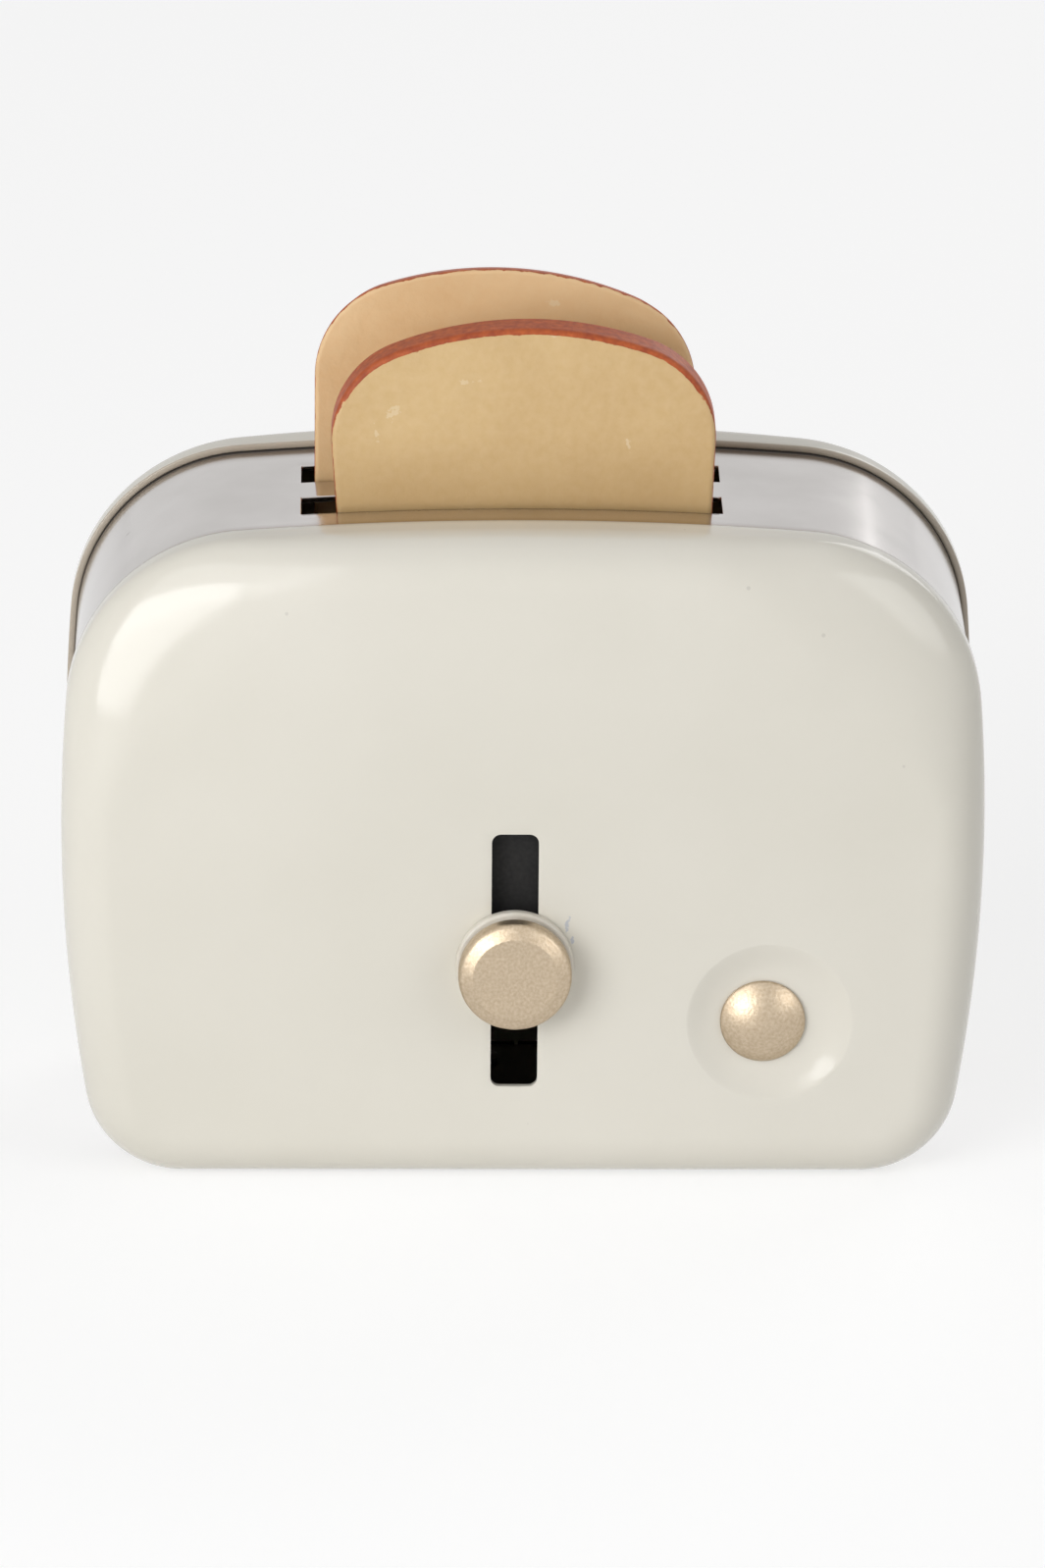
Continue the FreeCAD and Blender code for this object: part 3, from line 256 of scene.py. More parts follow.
def fan_faces(pole, first, columns, flip=False):
    """Triangles from a pole to the ring of points that starts at first."""
    ring = first + np.arange(columns)
    following = first + (np.arange(columns) + 1) % columns
    pole_column = np.full(columns, pole)
    order = (pole_column, following, ring) if flip else (pole_column, ring, following)
    return np.stack(order, axis=1)


def outline_arcs():
    """The case seen from the front: centre, radius and end angles of the seven arcs that follow its level
    base, from the lower right corner round to the lower left. Each arc runs smoothly into the next, and
    the last entry tells the top corners."""
    side_x = HALF_WIDTH - SIDE_RADIUS
    crown_z = CASE_HEIGHT - CROWN_RADIUS
    low_x = side_x + math.sqrt((SIDE_RADIUS - LOW_CORNER) ** 2 - (SIDE_CENTRE_Z - LOW_CORNER) ** 2)
    # A top corner's centre lies on two circles: one about the side's centre and one about the crown's.
    gap = math.hypot(side_x, SIDE_CENTRE_Z - crown_z)
    reach_side = SIDE_RADIUS - TOP_CORNER
    reach_crown = CROWN_RADIUS - TOP_CORNER
    along = (reach_crown ** 2 - reach_side ** 2 + gap ** 2) / (2 * gap)
    aside = math.sqrt(reach_crown ** 2 - along ** 2)
    way_x = side_x / gap
    way_z = (SIDE_CENTRE_Z - crown_z) / gap
    top_x = way_x * along + way_z * aside
    top_z = crown_z + way_z * along - way_x * aside
    low_end = math.atan2(LOW_CORNER - SIDE_CENTRE_Z, low_x - side_x)
    side_end = math.atan2(top_z - SIDE_CENTRE_Z, top_x - side_x)
    crown_end = math.atan2(top_z - crown_z, top_x)
    return (
        (low_x, LOW_CORNER, LOW_CORNER, -math.pi / 2, low_end, False),
        (side_x, SIDE_CENTRE_Z, SIDE_RADIUS, low_end, side_end, False),
        (top_x, top_z, TOP_CORNER, side_end, crown_end, True),
        (0.0, crown_z, CROWN_RADIUS, crown_end, math.pi - crown_end, False),
        (-top_x, top_z, TOP_CORNER, math.pi - crown_end, math.pi - side_end, True),
        (-side_x, SIDE_CENTRE_Z, SIDE_RADIUS, math.pi - side_end, math.pi - low_end, False),
        (-low_x, LOW_CORNER, LOW_CORNER, math.pi - low_end, 1.5 * math.pi, False),
    )


def case_outline(inset, spacing, marks=()):
    """Points, outward normals and corner softness once round the case, drawn in by inset. They start under
    the middle, run to the right along the base and then along each arc at even angles. On the crown a point
    is added at each x in marks. Softness falls off as a half cosine wave along the outline, both ways from
    the middle of each top corner."""
    arcs = outline_arcs()
    base = np.arange(0, arcs[0][0], spacing)
    across, up = [base], [np.full_like(base, inset)]
    normal_x, normal_z = [np.zeros_like(base)], [np.full_like(base, -1)]
    corners = []
    for centre_x, centre_z, radius, first, last, soft in arcs:
        count = max(int(radius * (last - first) / spacing), ARC_STEPS)
        angles = np.linspace(first, last, count, endpoint=False)
        if radius == CROWN_RADIUS and marks:
            angles = np.sort(np.append(angles, np.arccos(np.array(marks) / (radius - inset))))
        if soft:
            corners.append(sum(len(part) for part in across) + len(angles) // 2)
        across.append(centre_x + (radius - inset) * np.cos(angles))
        up.append(centre_z + (radius - inset) * np.sin(angles))
        normal_x.append(np.cos(angles))
        normal_z.append(np.sin(angles))
    across.append(-base[:0:-1])
    up.append(up[0][1:])
    normal_x.append(normal_x[0][1:])
    normal_z.append(normal_z[0][1:])
    points = np.stack((np.concatenate(across), np.concatenate(up)), axis=1)
    normals = np.stack((np.concatenate(normal_x), np.concatenate(normal_z)), axis=1)
    along = np.append(0, np.cumsum(np.linalg.norm(np.diff(points, axis=0), axis=1)))
    softness = np.zeros(len(points))
    for corner in corners:
        share = np.clip(np.abs(along - along[corner]) / SOFT_SPAN, 0, 1)
        softness += (1 + np.cos(math.pi * share)) / 2
    return points, normals, softness


def pillow(points):
    """How far the pressed face falls back from flat: the fourth powers of the shares across and up, and in
    the top corners the product of two squares that start partway out and partway up."""
    across = points[..., 0] / HALF_WIDTH
    up = (points[..., 1] - CASE_HEIGHT / 2) / (CASE_HEIGHT / 2)
    outward = np.clip((np.abs(across) - CORNER_START_X) / (1 - CORNER_START_X), 0, 1)
    upward = np.clip((points[..., 1] / CASE_HEIGHT - CORNER_START_Z) / (1 - CORNER_START_Z), 0, 1)
    return PILLOW * (across ** 4 + up ** 4) / 2 + CORNER_DROP * outward ** 2 * upward ** 2


def dish_drop(radius):
    """Depth of the dish at a radius: an even S from its edge to its floor that starts a little sooner."""
    span = DISH_RADIUS + DISH_LIP - DISH_FLOOR_RADIUS
    inward = np.clip((DISH_RADIUS + DISH_LIP - radius) / span, 0, 1)
    return DISH_DEPTH * smooth_step(inward ** DISH_SHARPNESS)


def inside(polygon, points):
    """Which points lie inside a closed polygon, by counting the edges that a level ray crosses."""
    start = polygon
    end = np.roll(polygon, -1, axis=0)
    x, z = points[:, None, 0], points[:, None, 1]
    spans = (start[None, :, 1] > z) != (end[None, :, 1] > z)
    rise = np.where(end[:, 1] == start[:, 1], 1.0, end[:, 1] - start[:, 1])
    crossing = start[:, 0] + (z - start[:, 1]) * (end[:, 0] - start[:, 0]) / rise
    return (spans & (x < crossing)).sum(axis=1) % 2 == 1


def nearest(polygon, points):
    """Distance from each point to the nearest point of a polygon."""
    gaps = points[:, None, :] - polygon[None, :, :]
    return np.sqrt((gaps ** 2).sum(axis=2)).min(axis=1)


def rounded_slot(centre, width, height, corner, spacing):
    """A rectangle with round corners: straight runs and quarter circles, counter-clockwise."""
    signs = np.array(((1, -1), (1, 1), (-1, 1), (-1, -1)))
    reach = np.array((width, height)) / 2 - corner
    parts = []
    for index, sign in enumerate(signs):
        angles = np.linspace(-math.pi / 2, 0, SLOT_CORNER_STEPS) + index * math.pi / 2
        arc = centre + sign * reach + corner * np.stack((np.cos(angles), np.sin(angles)), axis=1)
        run = (signs[(index + 1) % 4] - sign) / 2
        length = 2 * np.abs(run) @ reach
        steps = np.linspace(0, 1, int(length / spacing) + 2)[1:-1]
        parts += [arc, arc[-1] + np.outer(steps, run * length)]
    return np.concatenate(parts)


def edge_rings():
    """Rings of points from a shell's rim forward up its wall and over its edge, and how far in front of the
    mid plane they lie. At share u of the way back to the outline a ring lies reach * (1 - u) inside it and
    depth * (1 - root(1 - u ** p)) behind the face, where p is 2, a quarter ellipse, and grows with the reach
    in the top corners so that they fade out gently."""
    outline, normals, softness = case_outline(0, OUTLINE_STEP)
    reach = EDGE_REACH + SOFT_CORNER * softness
    power = 2 + SOFT_POWER * softness
    wall_top = FACE - EDGE_DEPTH - pillow(outline)
    rings = [outline for share in WALL_SHARES]
    depths = [RIM + share * (wall_top - RIM) for share in WALL_SHARES]
    for angle in np.linspace(0, math.pi / 2, EDGE_RINGS):
        share = math.cos(angle)
        ring = outline - normals * (reach * (1 - share))[:, None]
        rings.append(ring)
        depths.append(FACE - EDGE_DEPTH * (1 - np.sqrt(1 - share ** power)) - pillow(ring))
    return np.stack(rings), np.stack(depths)


def dish_rings():
    """Rings of points from the dial's hole out over the dish's lip, and how far in front of the mid plane
    they lie: behind the flat face by the pillow's drop and the dish's. The inner rings close in on the hole,
    which is a little beside the dish's middle."""
    turn = np.linspace(0, 2 * math.pi, DISH_COLUMNS, endpoint=False)
    lip_start = DISH_RADIUS - DISH_LIP
    lip_end = DISH_RADIUS + DISH_LIP
    radii = np.concatenate((np.linspace(DIAL_HOLE, DISH_FLOOR_RADIUS, DISH_FLOOR_RINGS, endpoint=False),
                            np.linspace(DISH_FLOOR_RADIUS, lip_start, DISH_SLOPE_RINGS, endpoint=False),
                            np.linspace(lip_start, lip_end, DISH_LIP_RINGS, endpoint=False),
                            (lip_end, DISH_RADIUS + DISH_MARGIN)))
    drawn = 1 - smooth_step((radii - DIAL_HOLE) / (DISH_FLOOR_RADIUS - DIAL_HOLE))
    ring_x = DISH_X + (DIAL_X - DISH_X) * drawn[:, None] + radii[:, None] * np.cos(turn)
    ring_z = DISH_Z + (DIAL_Z - DISH_Z) * drawn[:, None] + radii[:, None] * np.sin(turn)
    rings = np.stack((ring_x, ring_z), axis=-1)
    return rings, FACE - pillow(rings) - dish_drop(np.hypot(ring_x - DISH_X, ring_z - DISH_Z))


def face_net(border, holes):
    """An even net of points inside the border and outside the holes, half a step clear of their points."""
    net_x, net_z = np.meshgrid(np.arange(-HALF_WIDTH, HALF_WIDTH, NET_STEP),
                               np.arange(0, CASE_HEIGHT, NET_STEP))
    net = np.stack((net_x.ravel(), net_z.ravel()), axis=1)
    net = net[inside(border, net)]
    net = net[nearest(border, net) > NET_STEP / 2]
    for hole in holes:
        net = net[~inside(hole, net)]
        net = net[nearest(hole, net) > NET_STEP / 2]
    return net


def face_triangles(loops, net, first_of_net):
    """Delaunay triangles of the loops' and the net's points that keep the loops' sides and lie inside the
    first loop and outside the others. They number the points as the shell does: each loop comes with the
    number of its first point, and the net's follow from first_of_net."""
    places = np.concatenate([loop for loop, first in loops] + [net])
    numbers = [np.arange(first, first + len(loop)) for loop, first in loops]
    numbers = np.concatenate(numbers + [np.arange(first_of_net, first_of_net + len(net))])
    sides = []
    start = 0
    for loop, first in loops:
        order = np.arange(start, start + len(loop))
        sides += np.stack((order, np.roll(order, -1)), axis=1).tolist()
        start += len(loop)
    seeds = [Vector(place) for place in places.tolist()]
    found = delaunay_2d_cdt(seeds, sides, [], 0, DELAUNAY_TOLERANCE)
    sources = np.array([source[0] for source in found[3]])
    triangles = sources[np.array(found[2])]
    middles = places[triangles].mean(axis=1)
    keep = inside(loops[0][0], middles)
    for hole, first in loops[1:]:
        keep &= ~inside(hole, middles)
    return numbers[triangles[keep]]


def pressed_shell(name, node, facing, material, with_openings):
    """A pressed shell: the edge's rings, in the front shell the dish's rings and the lever's slot, and a net
    over the rest of the face. Every point lies behind the flat face by the pillow's drop and by its ring's
    own. The back shell is the same form turned to face backwards."""
    rings, depths = edge_rings()
    flat = [rings.reshape(-1, 2)]
    depth = [depths.ravel()]
    faces = [grid_faces(*depths.shape, flip=facing > 0)]
    count = depths.size
    loops = [(rings[-1], count - len(rings[-1]))]
    if with_openings:
        dish, dish_depths = dish_rings()
        flat.append(dish.reshape(-1, 2))
        depth.append(dish_depths.ravel())
        faces.append(grid_faces(*dish_depths.shape, start=count, flip=facing < 0))
        count += dish_depths.size
        loops.append((dish[-1], count - len(dish[-1])))
        slot = rounded_slot((LEVER_X, LEVER_SLOT_Z), LEVER_SLOT_WIDTH, LEVER_SLOT_LENGTH, LEVER_SLOT_CORNER,
                            SLOT_STEP)
        flat.append(slot)
        depth.append(FACE - pillow(slot))
        loops.append((slot, count))
        count += len(slot)
    net = face_net(rings[-1], [loop for loop, first in loops[1:]])
    flat = np.concatenate(flat + [net])
    depth = np.concatenate(depth + [FACE - pillow(net)])
    triangles = face_triangles(loops, net, count)
    if facing > 0:
        triangles = triangles[:, ::-1]
    points = np.stack((flat[:, 0], MID_Y + facing * depth, flat[:, 1]), axis=1)
    faces = np.concatenate(faces).tolist() + triangles.tolist()
    shell = build_piece(name, points, faces, "case", node, material)
    give_wall(shell, WALL, CUT_EDGE)
    return shell


def give_wall(piece, thickness, edge):
    """Sheet thickness inside the surface, with slightly rounded cut edges."""
    wall = piece.modifiers.new("sheet", "SOLIDIFY")
    wall.thickness = thickness
    wall.offset = -1
    wall.use_even_offset = True
    round_off = piece.modifiers.new("cut_edges", "BEVEL")
    round_off.width = edge
    round_off.segments = 2
    round_off.limit_method = "ANGLE"
    round_off.angle_limit = CUT_EDGE_ANGLE
    shading = piece.modifiers.new("shading", "WEIGHTED_NORMAL")
    shading.keep_sharp = False


def tin_band(material):
    """The band: the outline carried across the depth, open at the seam under the middle. The faces over the
    two toast slots are left out."""
    slot_ends = (TOAST_SLOT_X - TOAST_SLOT_LENGTH / 2, TOAST_SLOT_X + TOAST_SLOT_LENGTH / 2)
    half_spacing = TOAST_SLOT_SPACING / 2
    half_slot = TOAST_SLOT_WIDTH / 2
    outline = case_outline(BAND_INSET, BAND_STEP, slot_ends)[0]
    strip = np.concatenate((outline, outline[:1]))
    strip[0, 0] = BAND_SEAM_GAP / 2
    strip[-1, 0] = -BAND_SEAM_GAP / 2
    slot_rows = [MID_Y + side * half_spacing + edge * half_slot for side in (-1, 1) for edge in (-1, 1)]
    rows = np.unique(np.append(np.linspace(band_low.y, band_high.y, BAND_ROWS), slot_rows).round(7))
    points = np.zeros((len(rows), len(strip), 3))
    points[:, :, 0] = strip[:, 0]
    points[:, :, 1] = rows[:, None]
    points[:, :, 2] = strip[:, 1]
    points = points.reshape(-1, 3)
    quads = grid_faces(len(rows), len(strip), wrap=False)
    middles = points[quads].mean(axis=1)
    over_slot = (middles[:, 0] > slot_ends[0]) & (middles[:, 0] < slot_ends[1])
    over_slot &= middles[:, 2] > CASE_HEIGHT / 2
    over_slot &= np.abs(np.abs(middles[:, 1] - MID_Y) - half_spacing) < half_slot
    band = build_piece("tin_band", points, quads[~over_slot].tolist(), "case", "centre_band",
                       material)
    give_wall(band, BAND_WALL, BAND_CUT_EDGE)
    return band


def rounded_profile(corners, closed=False, steps=6):
    """A profile of radius and distance with each corner rounded by an arc of its own radius. A corner is
    (radius, distance, rounding); the arc touches both runs at rounding * tan(half the turn) from it."""
    points = np.array([corner[:2] for corner in corners], float)
    count = len(points)
    profile = []
    for index, (point, corner) in enumerate(zip(points, corners)):
        rounding = corner[2]
        at_end = not closed and index in (0, count - 1)
        if rounding == 0 or at_end:
            profile.append(point[None])
            continue
        back = points[index - 1] - point
        ahead = points[(index + 1) % count] - point
        back /= np.linalg.norm(back)
        ahead /= np.linalg.norm(ahead)
        half_angle = math.acos(np.clip(back @ ahead, -1, 1)) / 2
        middle = point + (back + ahead) / np.linalg.norm(back + ahead) * rounding / math.sin(half_angle)
        first = point + back * rounding / math.tan(half_angle) - middle
        last = point + ahead * rounding / math.tan(half_angle) - middle
        sweep = math.atan2(first[0] * last[1] - first[1] * last[0], first @ last)
        angles = np.linspace(0, sweep, steps)
        turned_x = first[0] * np.cos(angles) - first[1] * np.sin(angles)
        turned_y = first[0] * np.sin(angles) + first[1] * np.cos(angles)
        profile.append(middle + np.stack((turned_x, turned_y), axis=1))
    return np.concatenate(profile)


def turned_points(profile, centre_x, centre_z):
    """The profile carried round an axis along Y: radius * cosine across, radius * sine up, distance in front
    of the case's mid plane."""
    turn = np.linspace(0, 2 * math.pi, TURNED_COLUMNS, endpoint=False)
    radius = profile[:, 0][:, None]
    grid = np.zeros((len(profile), TURNED_COLUMNS, 3))
    grid[..., 0] = centre_x + radius * np.cos(turn)
    grid[..., 1] = MID_Y - profile[:, 1][:, None]
    grid[..., 2] = centre_z + radius * np.sin(turn)
    return grid


def turned_solid(name, profile, centre, body, node, material, sharp=None):
    """A closed turned piece whose profile starts and ends on the axis."""
    grid = turned_points(profile[1:-1], *centre)
    poles = [(centre[0], MID_Y - profile[end, 1], centre[1]) for end in (0, -1)]
    points = np.concatenate((grid.reshape(-1, 3), poles))
    rows, columns = grid.shape[:2]
    count = rows * columns
    faces = grid_faces(rows, columns, flip=True).tolist()
    faces += fan_faces(count, 0, columns).tolist()
    faces += fan_faces(count + 1, count - columns, columns, flip=True).tolist()
    return build_piece(name, points, faces, body, node, material, sharp)


def turned_ring(name, profile, centre, body, node, material):
    """A turned ring whose profile is a closed loop."""
    grid = turned_points(profile, *centre)
    faces = grid_faces(*grid.shape[:2], wrap_rows=True, flip=True).tolist()
    return build_piece(name, grid.reshape(-1, 3), faces, body, node, material)


def gold_knob(material):
    """The lever's knob: a flat face inside a wide round bevel, and a short hub behind. Each corner of the
    profile is a radius, a distance and a rounding."""
    low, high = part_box("lever_knob")
    front = MID_Y - low.y
    head_back = front - KNOB_HEAD
    hub_back = MID_Y - high.y
    radius = (high.x - low.x) / 2
    profile = rounded_profile((
        (0, front, 0),
        (KNOB_FLAT_RADIUS, front, 0.3 * MM),
        (radius, front - KNOB_BEVEL, 0.6 * MM),
        (radius, head_back, 0.35 * MM),
        (KNOB_HUB_RADIUS, head_back, 0.1 * MM),
        (KNOB_HUB_RADIUS, hub_back, 0.05 * MM),
        (0, hub_back, 0)), steps=9)
    return turned_solid("gold_knob", profile, (LEVER_X, LEVER_Z), "carriage", "lever_knob",
                        material)


def cream_washer(material):
    """The washer under the knob: a flat ring with rounded edges."""
    low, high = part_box("lever_washer")
    front = MID_Y - low.y
    back = MID_Y - high.y
    outer = (high.x - low.x) / 2
    profile = rounded_profile((
        (WASHER_BORE_RADIUS, front, 0.06 * MM),
        (outer, front, 0.26 * MM),
        (outer, back, 0.1 * MM),
        (WASHER_BORE_RADIUS, back, 0.06 * MM)), closed=True)
    return turned_ring("cream_washer", profile, (LEVER_X, LEVER_Z), "carriage",
                       "lever_washer", material)


def gold_dial(material):
    """The dial: a dome that is part of a sphere, a thin round edge, and a shank behind."""
    low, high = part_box("dial_button")
    front = MID_Y - low.y
    radius = (high.x - low.x) / 2
    sphere = (radius ** 2 + DIAL_RISE ** 2) / (2 * DIAL_RISE)
    angles = np.linspace(0, math.asin(radius / sphere), 26)
    dome = np.stack((sphere * np.sin(angles), front - sphere + sphere * np.cos(angles)), axis=1)
    back = front - DIAL_RISE - DIAL_RIM
    shank_end = MID_Y - high.y
    tail = rounded_profile((
        (radius, front - DIAL_RISE, 0),
        (radius, back, 0.06 * MM),
        (DIAL_SHANK_RADIUS, back, 0.06 * MM),
        (DIAL_SHANK_RADIUS, shank_end, 0.12 * MM),
        (0, shank_end, 0)))
    profile = np.concatenate((dome, tail[1:]))
    return turned_solid("gold_dial", profile, (DIAL_X, DIAL_Z), "dial", "dial_button",
                        material, sharp=50)


def slice_outline(height):
    """A slice seen from the front: a level foot, straight sides that widen upwards, round shoulders and a
    crowned top, as points and outward normals that start at the foot's left end and run to the right."""
    shoulder_x = SLICE_HALF_WIDTH - SLICE_SHOULDER
    top_z = height - SLICE_TOP_RADIUS
    shoulder_z = top_z + math.sqrt((SLICE_TOP_RADIUS - SLICE_SHOULDER) ** 2 - shoulder_x ** 2)
    run_x = shoulder_x - SLICE_HALF_FOOT
    run = math.hypot(run_x, shoulder_z)
    side_angle = math.atan2(shoulder_z, run_x) - math.asin(SLICE_SHOULDER / run) - math.pi / 2
    top_angle = math.atan2(shoulder_z - top_z, shoulder_x)
    touch = np.array((shoulder_x + SLICE_SHOULDER * math.cos(side_angle),
                      shoulder_z + SLICE_SHOULDER * math.sin(side_angle)))
    foot_right = np.array((SLICE_HALF_FOOT, 0.0))
    points, normals = [], []

    def add_line(start, end):
        share = np.linspace(0, 1, SLICE_STEPS, endpoint=False)[:, None]
        way = (end - start) / np.linalg.norm(end - start)
        points.append(start + (end - start) * share)
        normals.append(np.repeat([[way[1], -way[0]]], SLICE_STEPS, axis=0))

    def add_arc(centre, radius, first, last):
        angles = np.linspace(first, last, SLICE_STEPS, endpoint=False)
        way = np.stack((np.cos(angles), np.sin(angles)), axis=1)
        points.append(np.array(centre) + radius * way)
        normals.append(way)

    mirror = np.array((-1.0, 1.0))
    add_line(foot_right * mirror, foot_right)
    add_line(foot_right, touch)
    add_arc((shoulder_x, shoulder_z), SLICE_SHOULDER, side_angle, top_angle)
    add_arc((0, top_z), SLICE_TOP_RADIUS, top_angle, math.pi - top_angle)
    add_arc((-shoulder_x, shoulder_z), SLICE_SHOULDER, math.pi - top_angle, math.pi - side_angle)
    add_line(touch * mirror, foot_right * mirror)
    points = np.concatenate(points)
    normals = np.concatenate(normals)
    # The foot's two corners are drawn in from both of their sides.
    normals[0] += normals[-1]
    normals[SLICE_STEPS] += normals[1]
    return points, normals


def slice_rings(outline, normals, middle):
    """Rings from the middle of a slice's front face out to its edge, round a quarter circle, over the narrow
    side and back to the middle of the back, which mirrors the front. With them come how far each lies behind
    the slice's own mid plane and how far from the front edge: into a face above zero, and back across the
    narrow side below zero."""
    half = SLICE_THICKNESS / 2
    face_edge = outline - normals * SLICE_EDGE
    face = [(middle + (outline - middle) * share, FACE_INSIDE) for share in SLICE_SHARES]
    face += [(middle + (face_edge - middle) * (1 - inset / SLICE_HALF_WIDTH), inset)
             for inset in SLICE_INSETS]
    front_edge = [(outline - normals * SLICE_EDGE * (1 - math.sin(angle)),
                   SLICE_EDGE * (1 - math.cos(angle)) - half)
                  for angle in np.linspace(0, math.pi / 2, SLICE_EDGE_STEPS)]
    narrow_places = np.linspace(SLICE_EDGE - half, half - SLICE_EDGE, SLICE_SIDE_STEPS)[1:-1]
    narrow_side = [(outline, place) for place in narrow_places]
    back_edge = [(ring, -place) for ring, place in front_edge[::-1]]
    side = front_edge + narrow_side + back_edge
    rings = [ring for ring, distance in face + side + face[::-1]]
    inward = [distance for ring, distance in face]
    across = [place for ring, place in side]
    behind = np.array([-half] * len(face) + across + [half] * len(face))
    from_edge = np.array(inward + [-place - half for place in across] + inward[::-1])
    return np.stack(rings), behind, from_edge


def painted_slice(name, node, body, material, height, offset, roll, lean, side, taper, over_edge):
    """A slice: its rings and a pole in the middle of each face. The narrow side and the back draw in by the
    taper, evenly from front to back, except at the foot. The slice is rolled and leans back, in degrees, and
    stands on its lower corner so that it passes the middle of its slot. Each point keeps how much it is
    painted as crust, which ends a little behind the front edge at the sides and comes over_edge further
    forward along the top."""
    outline, normals = slice_outline(height)
    half = SLICE_THICKNESS / 2
    middle = np.array((0.0, height * SLICE_MIDDLE))
    flat, behind, from_edge = slice_rings(outline, normals, middle)
    drawn_in = taper * (behind + half) / SLICE_THICKNESS
    upward = smooth_step(normals[:, 1] + TAPER_UPWARD)
    flat = flat - drawn_in[:, None, None] * upward[:, None] * normals
    rows, columns = flat.shape[:2]
    count = rows * columns
    points = np.zeros((count + 2, 3))
    points[:count, 0] = flat[..., 0].ravel()
    points[:count, 1] = np.repeat(behind, columns)
    points[:count, 2] = flat[..., 1].ravel()
    points[count:] = (middle[0], -half, middle[1]), (middle[0], half, middle[1])
    roll_angle = math.radians(roll)
    lean_angle = math.radians(lean)
    turn = Matrix.Rotation(-lean_angle, 3, "X") @ Matrix.Rotation(roll_angle, 3, "Y")
    lift = SLICE_HALF_FOOT * abs(math.sin(roll_angle)) + half * abs(math.sin(lean_angle))
    stand = TRAY_HEIGHT + SLICE_SEAT_GAP + lift
    slot_height = CASE_HEIGHT - TOAST_SLOT_DROP
    back = side * TOAST_SLOT_SPACING / 2 - (slot_height - stand) * math.tan(lean_angle)
    points = points @ np.array(turn).T + np.array((offset, MID_Y + back, stand))
    faces = grid_faces(rows, columns, flip=True).tolist()
    faces += fan_faces(count, 0, columns).tolist()
    faces += fan_faces(count + 1, count - columns, columns, flip=True).tolist()
    piece = build_piece(name, points, faces, body, node, material)
    distance = np.append(np.repeat(from_edge, columns), (FACE_INSIDE, FACE_INSIDE))
    ahead = np.append(np.tile(over_edge * smooth_step(CRUST_UPWARD * normals[:, 1]), rows), (0, 0))
    crust = smooth_step((ahead - distance - CRUST_END) / CRUST_FADE + 0.5)
    attribute = piece.data.attributes.new("crust", "FLOAT", "POINT")
    attribute.data.foreach_set("value", crust.astype(np.float32))
    return piece


class Nodes:
    """A node tree under construction, with short ways to add its nodes and join them."""

    def __init__(self, tree):
        self.tree = tree

    def node(self, kind, **settings):
        made = self.tree.nodes.new(kind)
        for key, value in settings.items():
            setattr(made, key, value)
        return made

    def feed(self, source, socket):
        """Gives a socket another node's output or a plain value."""
        if isinstance(source, bpy.types.NodeSocket):
            self.tree.links.new(source, socket)
        else:
            socket.default_value = source

    def blend(self, mask, under, over):
        """A colour that goes from under to over by a mask."""
        made = self.node("ShaderNodeMix", data_type="RGBA")
        self.feed(mask, made.inputs["Factor"])
        self.feed(under, made.inputs[6])
        self.feed(over, made.inputs[7])
        return made.outputs[2]

    def between(self, mask, low, high):
        """A value that goes from low to high by a mask."""
        made = self.node("ShaderNodeMapRange")
        self.feed(mask, made.inputs["Value"])
        made.inputs["To Min"].default_value = low
        made.inputs["To Max"].default_value = high
        return made.outputs["Result"]

    def share(self, value, none, full, kind="SMOOTHSTEP"):
        """A mask from 0 where a value is none to 1 where it is full, as an even S or a straight line."""
        made = self.node("ShaderNodeMapRange", interpolation_type=kind)
        self.feed(value, made.inputs["Value"])
        made.inputs["From Min"].default_value = none
        made.inputs["From Max"].default_value = full
        return made.outputs["Result"]

    def calculate(self, operation, first, second=0.0):
        """One sum on one or two outputs or numbers."""
        made = self.node("ShaderNodeMath", operation=operation)
        self.feed(first, made.inputs[0])
        self.feed(second, made.inputs[1])
        return made.outputs[0]

    def noise(self, place, scale, detail):
        """Layered noise, mostly between 0.3 and 0.7."""
        made = self.node("ShaderNodeTexNoise")
        self.feed(place, made.inputs["Vector"])
        self.feed(scale, made.inputs["Scale"])
        self.feed(detail, made.inputs["Detail"])
        return made.outputs["Fac"]

    def seen(self):
        """1 for what the camera and reflections see, and 0 for the light that reaches the object."""
        path = self.node("ShaderNodeLightPath")
        return self.calculate("MAXIMUM", path.outputs["Is Camera Ray"], path.outputs["Is Glossy Ray"])


class Effect(Nodes):
    """A shared effect: a node group with a vector input, named number inputs and one number output."""

    def __init__(self, name, output, sliders):
        super().__init__(bpy.data.node_groups.new(name, "ShaderNodeTree"))
        sockets = self.tree.interface
        sockets.new_socket("Vector", in_out="INPUT", socket_type="NodeSocketVector")
        for slider, value in sliders.items():
            socket = sockets.new_socket(slider, in_out="INPUT", socket_type="NodeSocketFloat")
            socket.default_value = value
        sockets.new_socket(output, in_out="OUTPUT", socket_type="NodeSocketFloat")
        self.inputs = self.node("NodeGroupInput").outputs
        self.output = self.node("NodeGroupOutput").inputs[output]


